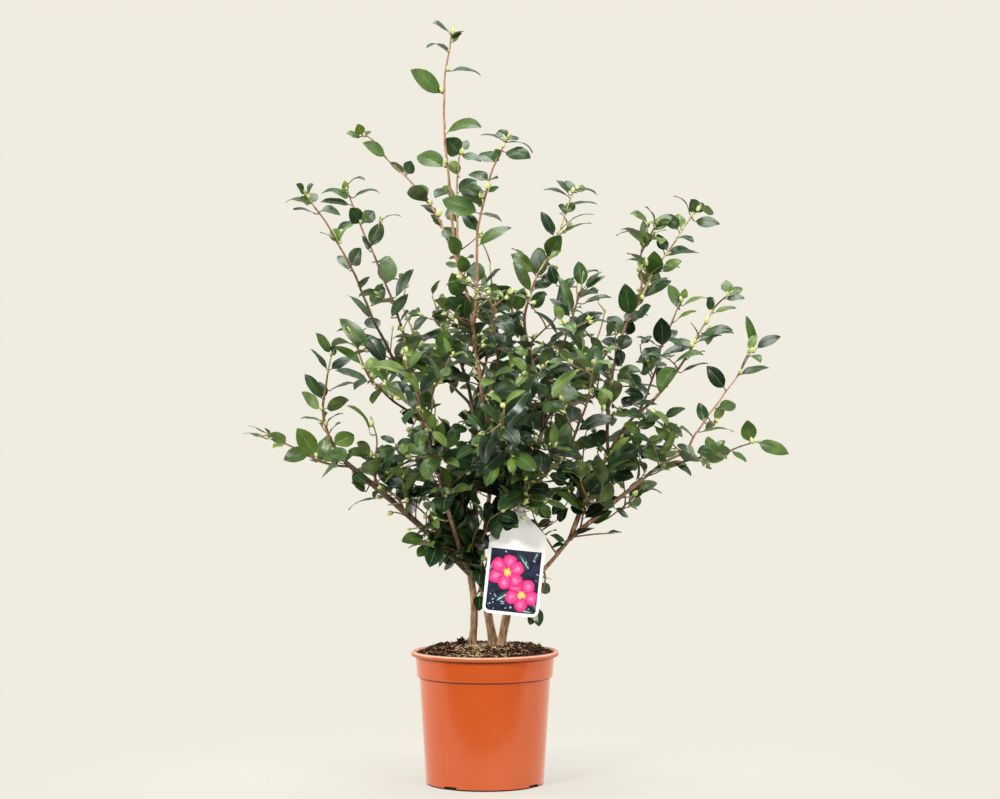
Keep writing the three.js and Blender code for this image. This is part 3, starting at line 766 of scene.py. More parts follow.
def leaf_shape(L, W, fold, curve, cup, twist, phase):
    """Vertices of one leaf: foot at the origin, +Y along it, +Z its upper side."""
    ang = 0.12 - (curve + 0.12) * (LEAF_T ** 1.5)
    mid = (ang[1:] + ang[:-1]) / 2
    ds = np.diff(LEAF_T) * L
    y = np.concatenate([[0], np.cumsum(np.cos(mid) * ds)])
    z = np.concatenate([[0], np.cumsum(np.sin(mid) * ds)])
    top = np.zeros((ROWS, COLS, 3))
    under = np.zeros((ROWS, COLS, 3))
    for r in range(ROWS):
        w = LEAF_W[r] * W / 2
        c, s = math.cos(ang[r]), math.sin(ang[r])
        tw = twist * LEAF_T[r]
        ct, st = math.cos(tw), math.sin(tw)
        for k in range(COLS):
            u = LEAF_U[k]
            x = u * w
            h = abs(x) * math.tan(fold) - cup * (x * x) / max(1.0, W)
            h += 0.22 * math.sin(LEAF_T[r] * 21 + abs(u) * 2.2 + phase) * (1 - u * u) * min(1, w / 6) * (abs(u) > 0.1)
            if abs(u) < 0.1:
                h -= 0.12
            if abs(u) == 1.0:
                h += 0.5 * math.sin(LEAF_T[r] * 11 + phase * 2 + u)
            xx, hh = x * ct - h * st, x * st + h * ct
            top[r, k] = (xx, y[r] - hh * s, z[r] + hh * c)
            hh -= 0.4
            under[r, k] = (xx, y[r] - hh * s, z[r] + hh * c)
    return top, under


LEAF_FACES, LEAF_FKIND, LEAF_SHARP = [], [], []


def _leaf_topology():
    """The upper side has a strip down its middle for the rib; the underside meets it at the margins."""
    t = lambda r, k: r * COLS + k
    base = ROWS * COLS
    u = lambda r, k: t(r, 0) if k == 0 else t(r, COLS - 1) if k == 4 else base + r * 3 + (k - 1)
    for r in range(ROWS - 1):
        for k in range(COLS - 1):
            LEAF_FACES.append((t(r, k), t(r, k + 1), t(r + 1, k + 1), t(r + 1, k)))
            LEAF_FKIND.append(2 if k == 2 and r < ROWS - 3 else 0)
        LEAF_SHARP.append((t(r, 2), t(r + 1, 2)))
        LEAF_SHARP.append((t(r, 3), t(r + 1, 3)))
        for k in range(4):
            LEAF_FACES.append((u(r, k), u(r + 1, k), u(r + 1, k + 1), u(r, k + 1)))
            LEAF_FKIND.append(1)
        LEAF_SHARP.append((u(r, 2), u(r + 1, 2)))
        LEAF_SHARP.append((t(r, 0), t(r + 1, 0)))
        LEAF_SHARP.append((t(r, COLS - 1), t(r + 1, COLS - 1)))
    LEAF_FACES.append(tuple([t(0, k) for k in range(COLS - 1, -1, -1)] + [u(0, 1), u(0, 2), u(0, 3)]))
    LEAF_FKIND.append(1)
    R = ROWS - 1
    LEAF_FACES.append(tuple([t(R, k) for k in range(COLS)] + [u(R, 3), u(R, 2), u(R, 1)]))
    LEAF_FKIND.append(1)


_leaf_topology()

GROUPS = ["top", "left", "right", "centre", "front", "back"]
leaf_builds = {g: Build(f"leaves_{g}") for g in GROUPS}
twig_build = Build("twigs")
bud_build = Build("buds")
taken_cells = {}
LEAF_COUNT = {g: 0 for g in GROUPS}

LIM_LO = [CAD_BOX[0][i] * 1000 - 4 for i in range(3)]
LIM_HI = [CAD_BOX[1][i] * 1000 + 4 for i in range(3)]
label_lo, label_hi = (Vector(c) * 1000 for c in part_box("plant_label"))


def crowded(c, reach):
    cell = tuple(int(x // 16) for x in c)
    for dx in (-1, 0, 1):
        for dy in (-1, 0, 1):
            for dz in (-1, 0, 1):
                for q in taken_cells.get((cell[0] + dx, cell[1] + dy, cell[2] + dz), ()):
                    if (q - c).length < reach:
                        return True
    return False


def blocks_label(p):
    x, y = seen_at(p)
    lx0, ly0 = seen_at((label_lo.x, -52, label_hi.z))
    lx1, ly1 = seen_at((label_hi.x, -52, label_lo.z))
    return p.y < -36 and lx0 - 3 < x < lx1 + 3 and ly0 + (22 if x < 505 else 4) < y < ly1 + 3


def put_leaf(group, foot, direction, normal, L, W, tone, stalk=4.0, curve=None, fold=None, free=False):
    d = direction.normalized()
    n = (normal - d * normal.dot(d))
    n = n.normalized() if n.length > 1e-4 else d.orthogonal().normalized()
    side = d.cross(n)
    curve = rnd.uniform(0.35, 1.25) if curve is None else curve
    fold = rnd.uniform(0.10, 0.38) if fold is None else fold
    base = foot + d * stalk
    centre = base + d * (L * 0.5)
    tip = base + d * (L * 0.93) - n * (L * 0.35 * curve * 0.6)
    if not free:
        if in_sky(centre) or in_sky(tip, 0.8) or blocks_label(centre) or blocks_label(tip) or blocks_label(base):
            return False
        if crowded(centre, 11.4):
            return False
        if centre.y < 10 and hides_wood(centre, 7.0) and rnd.random() < 0.85:
            return False
    more = 9 if free else 0
    for q in (centre, tip):
        if any(q[i] < LIM_LO[i] - more or q[i] > LIM_HI[i] + more for i in range(3)):
            return False
    if tip.z < 195:
        return False
    cell = tuple(int(x // 16) for x in centre)
    taken_cells.setdefault(cell, []).append(centre)
    top, under = leaf_shape(L, W, fold, curve, rnd.uniform(0.0, 0.5), rnd.uniform(-0.35, 0.35), rnd.uniform(0, 6.28))
    low = np.stack([under[:, 1], (under[:, 2] + under[:, 3]) / 2, under[:, 4]], axis=1)
    local = np.concatenate([top.reshape(-1, 3), low.reshape(-1, 3)])
    M = np.array([side, d, n])
    world = local @ M + np.array(base)
    young = tone >= 4
    back = BACK0 + (2 if young else 1 if tone >= 2 else 0)
    rib = RIB0 + (1 if tone >= 3 else 0)
    kinds = {0: tone, 1: back, 2: rib}
    b = leaf_builds[group]
    b.add(world, LEAF_FACES, [kinds[k] for k in LEAF_FKIND], LEAF_SHARP)
    # stalk
    r = 0.75
    ring = []
    for c, rr in ((foot, r), (base + d * 1.2 - n * 0.2, r * 0.8)):
        for a in range(4):
            th = 2 * math.pi * a / 4
            ring.append(tuple(c + (side * math.cos(th) + n * math.sin(th)) * rr))
    faces = [(k, k + 4, (k + 1) % 4 + 4, (k + 1) % 4) for k in range(4)] + [(0, 1, 2, 3), (7, 6, 5, 4)]
    b.add(ring, faces, rib)
    LEAF_COUNT[group] += 1
    return True


BUD_RINGS, BUD_SIDES = 6, 6


def put_bud(foot, direction, length, width, mat):
    d = direction.normalized()
    a = d.orthogonal().normalized()
    b = d.cross(a)
    prof = [0.3, 0.85, 1.0, 0.9, 0.55, 0.06]
    verts, faces = [], []
    for r in range(BUD_RINGS):
        t = r / (BUD_RINGS - 1)
        for k in range(BUD_SIDES):
            th = 2 * math.pi * (k + 0.5 * (r % 2)) / BUD_SIDES
            w = width / 2 * prof[r] * (1 + 0.07 * math.cos(3 * th + r))
            verts.append(tuple(foot + d * (length * t) + (a * math.cos(th) + b * math.sin(th)) * w))
    for r in range(BUD_RINGS - 1):
        for k in range(BUD_SIDES):
            q = (k + 1) % BUD_SIDES
            faces.append((r * BUD_SIDES + k, r * BUD_SIDES + q, (r + 1) * BUD_SIDES + q, (r + 1) * BUD_SIDES + k))
    faces.append(tuple(range(BUD_SIDES - 1, -1, -1)))
    faces.append(tuple((BUD_RINGS - 1) * BUD_SIDES + k for k in range(BUD_SIDES)))
    mats = [mat] * len(faces)
    for k in range(BUD_SIDES):
        mats[k] = 2
    bud_build.add(verts, faces, mats)


# The leaves of the long shoots that stand clear of the crown: shoot, foot and tip in the view, width in mm, how far the
# blade turns its upper side to the front (degrees, less than 0 for its underside), curve, tone. The tone is partly the
# leaf's own green and partly painted light and painted shade, lighter where a leaf stood in the light. How far the tip
# lies in front of or behind the foot follows from the leaf's real length.
SHOWN = [
    ("leader", 451, 35, 433, 26, 17, 36, 0.9, 1), ("leader", 451, 43, 462, 35, 13, 50, 0.4, 3), ("leader", 452, 39, 464, 34, 16, 36, 0.3, 0),
    ("leader", 448, 52, 428, 52, 20, 24, 1.3, 1), ("leader", 442, 94, 411, 71, 27, 52, 0.3, 2),
    ("leader", 450, 71, 480, 75, 22, 22, 0.8, 1), ("leader", 446, 133, 481, 129, 25, 34, 1.0, 2),
    ("leader", 444, 167, 417, 153, 27, 58, 0.4, 2), ("leader", 448, 190, 436, 200, 20, 40, 0.6, 1),
    ("top_middle", 460, 155, 446, 140, 26, 72, 0.3, 1), ("top_middle", 461, 152, 467, 139, 14, 60, 0.3, 1),
    ("top_middle", 461, 154, 481, 163, 17, 50, 0.5, 1), ("top_middle", 459, 176, 451, 160, 15, 65, 0.4, 3),
    ("top_middle", 456, 197, 442, 189, 18, 56, 0.4, 3), ("top_middle", 457, 223, 447, 208, 17, 55, 0.4, 2),
    ("top_middle", 456, 240, 444, 228, 22, 55, 0.4, 1), ("leader", 459, 268, 446, 262, 14, 44, 0.4, 2),
    ("top_right", 503, 140, 481, 135, 14, 4, 0.6, 1), ("top_right", 507, 139, 498, 130, 16, 56, 0.4, 1),
    ("top_right", 507, 140, 518, 136, 13, 40, 0.4, 1), ("top_right", 507, 142, 531, 153, 16, 6, 1.3, 1),
    ("top_right", 504, 152, 530, 160, 22, 48, 0.8, 1), ("top_right", 496, 163, 480, 152, 22, 60, 0.4, 1),
    ("top_right", 499, 160, 495, 150, 14, 60, 0.3, 2), ("top_right", 489, 181, 469, 173, 20, 44, 0.6, 1),
    ("top_right", 488, 181, 498, 180, 12, 40, 0.6, 1), ("top_right", 480, 214, 501, 222, 15, 24, 1.1, 1),
    ("top_right", 486, 192, 473, 190, 14, 40, 0.5, 1), ("top_right", 486, 193, 499, 188, 10, 40, 0.5, 2),
    ("top_right", 483, 198, 461, 186, 24, 60, 0.4, 1), ("top_right", 477, 232, 463, 212, 18, 60, 0.4, 1),
    ("top_right", 478, 213, 442, 199, 27, 66, 0.3, 2), ("top_right", 478, 246, 511, 228, 21, 34, 0.8, 2),
    ("leader", 459, 256, 450, 237, 19, 60, 0.5, 2), ("top_right", 477, 284, 474, 261, 24, 70, 0.3, 1),
    ("leader", 465, 274, 462, 256, 17, 60, 0.3, 2), ("top_right", 484, 284, 501, 270, 18, 40, 0.5, 0),
    ("leader", 461, 297, 452, 274, 24, 70, 0.3, 2),
    ("top_left", 362, 137, 347, 135, 14, 50, 0.5, 2), ("top_left", 362, 136, 358, 125, 14, 70, 0.3, 3),
    ("top_left", 365, 137, 369, 131, 10, 30, 1.0, 1), ("top_left", 386, 157, 363, 144, 20, 56, 0.4, 2),
    ("top_left", 406, 173, 389, 162, 13, -52, 0.5, 1), ("top_left", 407, 175, 412, 162, 18, 62, 0.3, 1),
    ("top_left", 428, 199, 411, 185, 24, 72, 0.3, 2), ("top_left", 436, 216, 420, 205, 18, 8, 0.9, 1),
    ("top_left", 441, 228, 431, 214, 14, 10, 0.6, 1),
    ("left_inner", 349, 194, 322, 195, 17, 30, 0.9, 1), ("left_inner", 350, 196, 334, 193, 18, 56, 0.4, 2), ("left_inner", 348, 184, 365, 182, 10, 3, 1.5, 1),
    ("left_inner", 346, 193, 345, 181, 10, 60, 0.3, 4), ("left_inner", 353, 198, 379, 194, 15, 4, 1.3, 1),
    ("left_inner", 351, 205, 321, 203, 19, 36, 0.5, 1), ("left_inner", 361, 224, 351, 209, 21, 70, 0.3, 1),
    ("left_inner", 362, 224, 373, 210, 20, 70, 0.3, 1),
    ("left_inner", 365, 222, 368, 214, 14, 60, 0.3, 3), ("left_inner", 371, 247, 381, 222, 20, 76, 0.2, 1),
    ("left_inner", 357, 222, 338, 230, 15, 36, 0.6, 1), ("left_inner", 386, 285, 388, 255, 26, 84, 0.2, 2),
    ("left_inner", 395, 298, 414, 270, 20, 34, 0.3, 1), ("left_inner", 371, 306, 383, 286, 20, 62, 0.4, 1),
    ("left_inner", 391, 318, 408, 294, 18, 30, 0.5, 1), ("left_inner", 398, 330, 410, 312, 22, 40, 0.6, 1),
    ("left_outer", 310, 204, 286, 203, 15, 26, 1.2, 1), ("left_outer", 305, 195, 297, 185, 14, 50, 0.4, 1),
    ("left_outer", 307, 204, 316, 193, 15, 52, 0.4, 2), ("left_outer", 339, 244, 332, 228, 16, 66, 0.4, 3),
    ("left_outer", 306, 195, 314, 185, 13, 50, 0.4, 1), ("left_outer", 311, 204, 300, 199, 14, 60, 0.4, 2),
    ("left_outer", 316, 214, 294, 211, 16, 7, 0.7, 1), ("left_outer", 320, 211, 338, 215, 17, 46, 1.0, 1),
    ("left_outer", 338, 242, 353, 226, 18, 34, 0.8, 3), ("left_outer", 338, 243, 320, 233, 16, 3, 0.5, 1),
    ("left_outer", 351, 266, 362, 249, 21, 74, 0.3, 1), ("left_outer", 350, 271, 337, 255, 17, 4, 0.5, 1),
    ("left_outer", 371, 319, 347, 295, 20, 6, 0.5, 1), ("left_outer", 378, 330, 366, 318, 20, 44, 0.4, 0),
    ("left_outer", 388, 352, 372, 338, 22, 56, 0.5, 0), ("left_outer", 360, 290, 371, 278, 16, 20, 0.6, 1),
    ("left_spray", 331, 354, 316, 333, 17, 40, 0.4, 2), ("left_spray", 330, 370, 351, 358, 17, 46, 0.5, 0),
    ("left_spray", 328, 371, 310, 349, 12, 2, 0.4, 1), ("left_spray", 329, 391, 355, 384, 17, 14, 0.7, 1),
    ("left_spray", 323, 400, 304, 374, 16, 36, 0.3, 1), ("left_spray", 325, 399, 318, 382, 14, 12, 0.4, 1),
    ("left_spray", 321, 410, 301, 392, 19, -48, 0.3, 2), ("left_spray", 325, 409, 348, 400, 20, -58, 0.3, 3),
    ("left_spray", 327, 422, 344, 414, 15, 26, 0.6, 2), ("left_spray", 329, 433, 342, 423, 14, 30, 0.5, 2),
    ("left_spray", 322, 421, 301, 419, 14, 3, 0.6, 2), ("left_spray", 333, 445, 353, 436, 23, 66, 0.4, 3), ("left_spray", 329, 437, 324, 453, 12, 50, 0.4, 3),
    ("left_spray", 333, 447, 345, 462, 22, 50, 0.6, 2), ("left_spray", 340, 455, 326, 462, 20, 44, 0.5, 2),
    ("left_spray", 331, 356, 337, 346, 12, 60, 0.4, 0),
    ("far_left", 316, 455, 298, 428, 24, 80, 0.2, 3), ("far_left", 287, 444, 270, 433, 18, -60, 0.4, 3),
    ("far_left", 267, 439, 243, 434, 15, 4, 0.6, 2), ("far_left", 269, 435, 248, 426, 15, 12, 0.5, 2),
    ("far_left", 309, 451, 285, 460, 21, 62, 0.4, 2), ("far_left", 317, 454, 338, 464, 15, 20, 0.4, 1),
    ("far_left", 284, 444, 274, 448, 12, 40, 0.5, 4), ("far_left", 270, 436, 266, 428, 9, 30, 0.4, 3),
    ("left_small", 372, 456, 349, 451, 20, -42, 0.6, 3), ("left_small", 371, 435, 347, 407, 17, 14, 1.0, 3),
    ("left_small", 375, 466, 393, 450, 18, 34, 0.6, 2), ("left_small", 374, 476, 356, 470, 20, 30, 0.8, 2),
    ("left_middle", 368, 347, 340, 319, 22, 70, 0.2, 2), ("left_middle", 386, 362, 366, 334, 21, 60, 0.3, 0),
    ("left_middle", 374, 379, 370, 357, 21, 78, 0.2, 4), ("left_middle", 362, 365, 334, 347, 15, 30, 0.5, 2),
    ("left_middle", 369, 382, 335, 371, 20, 8, 0.7, 1),
    ("left_middle", 384, 392, 398, 376, 22, 40, 0.6, 1), ("left_middle", 380, 388, 372, 404, 16, 20, 0.6, 2),
    ("centre_top", 569, 195, 556, 181, 12, 14, 1.0, 1), ("centre_top", 568, 196, 544, 190, 14, 8, 0.7, 1),
    ("centre_top", 573, 191, 596, 196, 14, 28, 1.1, 1), ("centre_top", 568, 205, 597, 205, 15, 26, 0.5, 1),
    ("centre_top", 567, 213, 558, 206, 14, 60, 0.4, 1), ("centre_top", 561, 229, 593, 216, 18, 14, 0.9, 1),
    ("centre_top", 554, 237, 541, 211, 18, 36, 0.4, 0), ("centre_top", 546, 257, 561, 237, 24, 76, 0.2, 2),
    ("centre_top", 574, 193, 566, 180, 14, 52, 0.5, 1), ("centre_top", 576, 193, 584, 185, 13, 60, 0.4, 3), ("centre_top", 534, 272, 511, 255, 22, 62, 0.4, 3),
    ("centre_top", 541, 277, 537, 248, 24, 76, 0.2, 1), ("centre_top", 531, 292, 513, 262, 17, 50, 0.3, 2),
    ("centre_top", 534, 290, 552, 280, 22, 40, 0.6, 1),
    ("right_top", 690, 214, 673, 198, 12, 5, 1.2, 1), ("right_top", 693, 214, 704, 202, 18, 52, 0.5, 0),
    ("right_top", 699, 208, 714, 213, 14, 60, 0.5, 2), ("right_top", 694, 221, 719, 225, 20, 60, 0.4, 1),
    ("right_top", 681, 229, 679, 213, 16, 70, 0.3, 3), ("right_top", 679, 231, 666, 214, 18, 60, 0.4, 1), ("right_top", 676, 238, 692, 244, 16, 22, 1.0, 1),
    ("right_top", 668, 252, 657, 234, 15, 42, 0.4, 0), ("right_top", 654, 277, 653, 252, 24, 84, 0.2, 2),
    ("right_top", 665, 256, 698, 254, 17, 24, 0.6, 1), ("right_top", 668, 252, 690, 250, 15, 42, 0.5, 1), ("right_top", 661, 272, 681, 262, 18, 50, 0.5, 3),
    ("right_top", 643, 298, 672, 281, 21, 28, 0.5, 1), ("right_top", 630, 316, 624, 284, 25, 84, 0.2, 1),
    ("right_top", 696, 213, 690, 200, 18, 66, 0.4, 1), ("right_top", 696, 212, 700, 202, 12, 70, 0.4, 3), ("right_top", 626, 324, 640, 310, 22, 46, 0.6, 1),
    ("right_top", 622, 335, 610, 316, 22, 55, 0.5, 1), ("right_top", 618, 350, 604, 340, 20, 30, 0.7, 0),
    ("right_top_2", 648, 223, 630, 215, 15, 36, 1.2, 2), ("right_top_2", 649, 223, 667, 226, 15, 36, 1.0, 3),
    ("right_top_2", 643, 250, 647, 231, 14, 55, 0.4, 3), ("right_top_2", 644, 246, 656, 231, 12, 34, 0.5, 3),
    ("", 664, 252, 660, 237, 14, 60, 0.3, 0),
    ("right_top_2", 644, 232, 617, 236, 16, 5, 0.8, 1), ("right_top_2", 643, 243, 666, 231, 14, 16, 0.7, 3),
    ("right_top_2", 641, 262, 627, 260, 10, 20, 0.6, 1),
    ("right_upper_2", 680, 310, 669, 284, 17, 36, 0.4, 2), ("right_upper_2", 683, 300, 685, 289, 10, 60, 0.3, 4),
    ("right_upper_2", 682, 306, 706, 299, 15, 30, 0.8, 3), ("right_upper_2", 674, 322, 696, 312, 14, 14, 0.6, 3),
    ("right_upper_2", 663, 347, 660, 318, 24, 78, 0.2, 0), ("right_upper_2", 661, 350, 640, 358, 20, 52, 0.5, 0),
    ("right_upper_2", 658, 346, 636, 338, 11, 22, 0.8, 1), ("right_upper_2", 664, 342, 676, 330, 20, 30, 0.6, 1),
    ("right_upper", 728, 295, 727, 280, 15, 70, 0.4, 2), ("right_upper", 729, 295, 743, 287, 14, 58, 0.4, 2),
    ("right_upper", 724, 299, 744, 299, 14, 40, 0.5, 1), ("right_upper", 714, 310, 706, 298, 16, 60, 0.4, 1),
    ("right_upper", 713, 313, 736, 309, 14, 34, 0.6, 3), ("right_upper", 697, 342, 722, 336, 14, 32, 0.7, 1), ("right_upper", 700, 336, 732, 331, 21, 30, 0.7, 1),
    ("right_upper", 699, 338, 690, 323, 13, 20, 0.4, 1), ("right_upper", 692, 350, 676, 340, 20, 44, 0.5, 1),
    ("right_upper", 686, 360, 704, 352, 18, 26, 0.6, 1), ("right_upper", 668, 387, 654, 368, 22, 66, 0.4, 0),
    ("right_upper", 680, 373, 708, 364, 12, 26, 0.6, 1),
    ("right_spray", 755, 349, 745, 316, 13, 52, 0.4, 2), ("right_spray", 756, 349, 781, 337, 18, 40, 0.7, 0),
    ("right_spray", 740, 375, 770, 368, 20, 30, 0.5, 1), ("right_spray", 725, 389, 706, 366, 21, 72, 0.3, 0),
    ("right_spray", 718, 409, 737, 405, 18, 56, 0.4, 2), ("right_spray", 706, 424, 699, 403, 15, 56, 0.4, 1),
    ("right_spray", 701, 432, 734, 433, 13, 20, 0.9, 2), ("right_spray", 694, 438, 678, 428, 20, 40, 0.6, 2),
    ("right_low", 757, 442, 788, 454, 20, 62, 0.3, 2), ("right_low", 750, 443, 746, 420, 20, 80, 0.2, 2),
    ("right_low", 712, 453, 725, 441, 13, 52, 0.4, 2), ("right_low", 714, 455, 708, 437, 15, 62, 0.3, 2),
    ("right_low", 714, 453, 696, 452, 19, 60, 0.4, 1), ("right_low", 714, 453, 726, 459, 12, 34, 0.5, 2),
    ("right_low", 694, 459, 676, 445, 17, 36, 0.5, 1), ("right_low", 730, 450, 745, 462, 14, 8, 0.6, 2),
    ("right_low", 669, 462, 641, 453, 20, 40, 0.5, 2), ("right_low", 675, 462, 690, 476, 16, 20, 0.6, 1),
    ("low_1", 439, 541, 430, 566, 24, 44, 0.3, 0), ("low_1", 462, 556, 470, 540, 22, 60, 0.4, 0),
    ("low_1", 452, 549, 446, 566, 20, 20, 0.8, 0), ("low_2", 425, 537, 402, 541, 20, 50, 0.3, 2),
    ("low_2", 440, 530, 434, 548, 22, 64, 0.4, 0), ("low_3", 486, 530, 502, 521, 24, 50, 0.7, 1),
    ("low_3", 500, 514, 518, 527, 22, 58, 0.4, 0), ("low_3", 474, 552, 481, 530, 24, 66, 0.4, 1),
    ("low_4", 481, 566, 479, 584, 20, 60, 0.4, 0), ("low_4", 479, 562, 468, 548, 22, 64, 0.3, 0),
    ("low_5", 480, 594, 479, 610, 16, 50, 0.4, 0), ("low_5", 481, 590, 486, 574, 18, 70, 0.3, 0),
    ("low_6", 536, 606, 539, 626, 15, 40, 0.3, 1),
    ("low_8", 576, 535, 594, 530, 18, 20, 0.8, 0), ("low_8", 606, 533, 622, 533, 12, 10, 0.4, 0),
    ("low_23", 459, 541, 440, 533, 24, 62, 0.4, 0), ("low_23", 455, 528, 434, 517, 25, 56, 0.4, 0),
    ("low_23", 457, 531, 471, 511, 25, 50, 0.4, 2), ("low_23", 461, 549, 443, 552, 22, 50, 0.5, 1),
    ("low_23", 450, 517, 432, 505, 24, 58, 0.4, 0), ("low_23", 452, 519, 462, 500, 24, 62, 0.3, 0),
    ("low_24", 473, 560, 464, 544, 24, 66, 0.3, 0), ("low_24", 475, 536, 487, 548, 24, 60, 0.4, 0),
    ("low_24", 478, 530, 468, 516, 22, 60, 0.4, 1), ("low_24", 482, 516, 494, 505, 23, 56, 0.4, 0),
    ("low_3", 488, 522, 503, 538, 22, 66, 0.4, 1), ("low_3", 497, 514, 518, 521, 22, 56, 0.4, 0),
    ("", 566, 505, 552, 514, 18, 52, 0.4, 0), ("", 650, 440, 632, 436, 16, 50, 0.4, 1),
    ("centre_top", 541, 283, 557, 272, 18, 50, 0.4, 0), ("centre_top", 532, 300, 547, 296, 16, 48, 0.5, 0),
    ("", 352, 472, 366, 484, 16, 42, 0.5, 1), ("", 345, 460, 356, 452, 14, 52, 0.4, 2), ("", 460, 312, 448, 298, 18, 60, 0.4, 1),
    ("", 466, 426, 452, 434, 20, 56, 0.4, 1), ("", 458, 558, 444, 570, 18, 52, 0.4, 0), ("", 636, 318, 650, 306, 18, 52, 0.4, 1),
    ("", 412, 330, 428, 318, 18, 56, 0.4, 1), ("centre_top", 566, 214, 574, 202, 14, 60, 0.4, 2),
    ("centre_right", 582, 287, 579, 261, 18, 72, 0.3, 1), ("centre_right", 584, 288, 602, 272, 10, 24, 0.6, 1),
    ("centre_right", 585, 290, 606, 276, 11, 24, 0.6, 1),
    ("", 628, 436, 622, 451, 15, 60, 0.4, 2), ("", 622, 452, 638, 457, 15, 52, 0.5, 1), ("", 640, 460, 656, 445, 18, 52, 0.4, 1),
    ("", 640, 432, 623, 424, 17, 60, 0.4, 3), ("right_upper", 685, 346, 667, 341, 16, 48, 0.5, 1), ("right_upper", 690, 347, 662, 356, 17, 34, 0.5, 0),
    ("", 663, 418, 685, 409, 16, 48, 0.5, 1), ("", 665, 421, 682, 437, 13, 42, 0.4, 2), ("", 632, 404, 657, 405, 15, 34, 0.5, 1),
    ("", 640, 420, 662, 418, 17, 50, 0.4, 2), ("", 645, 414, 626, 416, 18, 50, 0.5, 1), ("", 611, 436, 591, 442, 24, 66, 0.3, 1),
    ("", 571, 318, 550, 299, 14, 44, 0.6, 0), ("", 560, 293, 575, 281, 12, 34, 0.4, 0),
    ("left_spray", 342, 464, 318, 455, 13, 24, 0.5, 2), ("", 396, 444, 380, 437, 13, 34, 0.5, 1), ("", 395, 446, 413, 441, 14, 42, 0.5, 1),
    ("", 396, 447, 376, 452, 13, 38, 0.5, 1), ("", 404, 456, 388, 462, 15, 42, 0.4, 2),
    ("", 543, 341, 556, 372, 12, 24, 0.9, 0), ("", 548, 343, 566, 333, 13, 42, 0.5, 0),
    ("", 470, 488, 493, 489, 17, 42, 0.5, 0), ("", 466, 494, 480, 504, 15, 56, 0.4, 2),
    ("", 548, 475, 566, 484, 19, 56, 0.4, 0), ("", 570, 470, 556, 480, 19, 56, 0.4, 0), ("", 556, 492, 574, 500, 18, 52, 0.4, 1),
    ("low_7", 551, 517, 539, 505, 15, 62, 0.4, 2), ("low_7", 566, 542, 550, 535, 13, 44, 0.5, 1), ("low_7", 567, 544, 552, 548, 11, 34, 0.6, 1),
    ("", 588, 514, 571, 507, 16, 52, 0.4, 0), ("", 591, 524, 612, 511, 16, 50, 0.4, 1), ("", 616, 503, 596, 500, 20, 60, 0.4, 1),
    ("", 614, 508, 628, 518, 14, 42, 0.5, 0), ("", 629, 499, 645, 482, 20, 62, 0.3, 2), ("", 625, 502, 637, 510, 11, 34, 0.5, 3),
    ("", 672, 449, 640, 456, 18, 34, 0.6, 0), ("", 645, 445, 664, 438, 15, 44, 0.5, 2),
    ("low_7", 545, 536, 556, 530, 16, 34, 0.6, 0), ("low_7", 540, 527, 530, 520, 12, 50, 0.5, 0),
    ("", 567, 334, 603, 313, 22, 40, 0.6, 0), ("", 583, 304, 612, 298, 12, 24, 0.8, 1), ("", 560, 341, 534, 313, 14, 24, 0.8, 0),
    ("", 516, 312, 524, 288, 18, 60, 0.4, 2), ("", 532, 309, 545, 292, 18, 60, 0.4, 1), ("", 558, 297, 574, 278, 14, 46, 0.4, 1),
    ("", 572, 311, 557, 276, 15, 44, 0.5, 2), ("low_7", 556, 521, 568, 508, 18, 56, 0.4, 0), ("low_7", 550, 520, 540, 507, 16, 60, 0.4, 2),
    ("low_3", 519, 521, 503, 527, 22, 60, 0.4, 0), ("", 566, 492, 551, 503, 20, 56, 0.4, 0), ("", 464, 318, 466, 296, 20, 56, 0.4, 1),
    ("", 400, 412, 413, 424, 18, 50, 0.5, 0), ("", 420, 500, 407, 514, 20, 50, 0.5, 0), ("", 366, 492, 352, 482, 16, 44, 0.5, 2),
    ("", 430, 545, 418, 556, 17, 56, 0.4, 1), ("", 557, 286, 549, 266, 16, 60, 0.4, 0), ("", 622, 408, 634, 397, 18, 56, 0.4, 0),
    ("", 636, 429, 656, 421, 17, 50, 0.4, 2), ("", 622, 366, 616, 350, 18, 60, 0.4, 0), ("", 452, 436, 441, 424, 16, 54, 0.4, 0),
    ("", 404, 396, 396, 382, 18, 60, 0.4, 0), ("", 606, 336, 616, 322, 16, 56, 0.4, 1),
    ("", 380, 470, 409, 459, 13, 26, 0.6, 1), ("", 388, 481, 413, 474, 15, 36, 0.5, 2),
    ("", 393, 493, 361, 482, 14, 32, 0.5, 3), ("", 377, 498, 349, 511, 12, 20, 0.9, 2), ("", 398, 488, 412, 502, 22, 54, 0.5, 0),
    ("", 366, 492, 352, 478, 15, 44, 0.5, 3), ("", 410, 497, 430, 488, 21, 50, 0.5, 0),
    ("left_inner", 370, 252, 362, 236, 10, 40, 0.4, 1), ("", 448, 328, 440, 357, 24, 70, 0.3, 2), ("", 461, 426, 446, 448, 20, 60, 0.4, 2),
    ("", 612, 474, 633, 477, 19, 60, 0.4, 0), ("", 654, 426, 671, 444, 13, 44, 0.5, 2), ("", 640, 430, 636, 446, 15, 60, 0.4, 2),
    ("right_top", 632, 318, 627, 334, 20, 64, 0.3, 0), ("", 628, 334, 620, 350, 20, 60, 0.4, 0), ("top_middle", 458, 193, 476, 179, 20, 60, 0.4, 1),
    ("low_7", 553, 521, 538, 527, 12, 50, 0.5, 0), ("right_low", 703, 456, 705, 466, 11, 50, 0.4, 3), ("", 476, 420, 458, 415, 17, 60, 0.4, 0),
    ("low_6", 540, 582, 549, 594, 14, 76, 0.3, 1), ("low_1", 448, 553, 439, 568, 14, 30, 0.5, 0),
    ("", 636, 362, 660, 351, 23, 44, 0.5, 1), ("", 617, 370, 640, 372, 20, 50, 0.4, 2), ("", 650, 394, 634, 384, 20, 50, 0.4, 0),
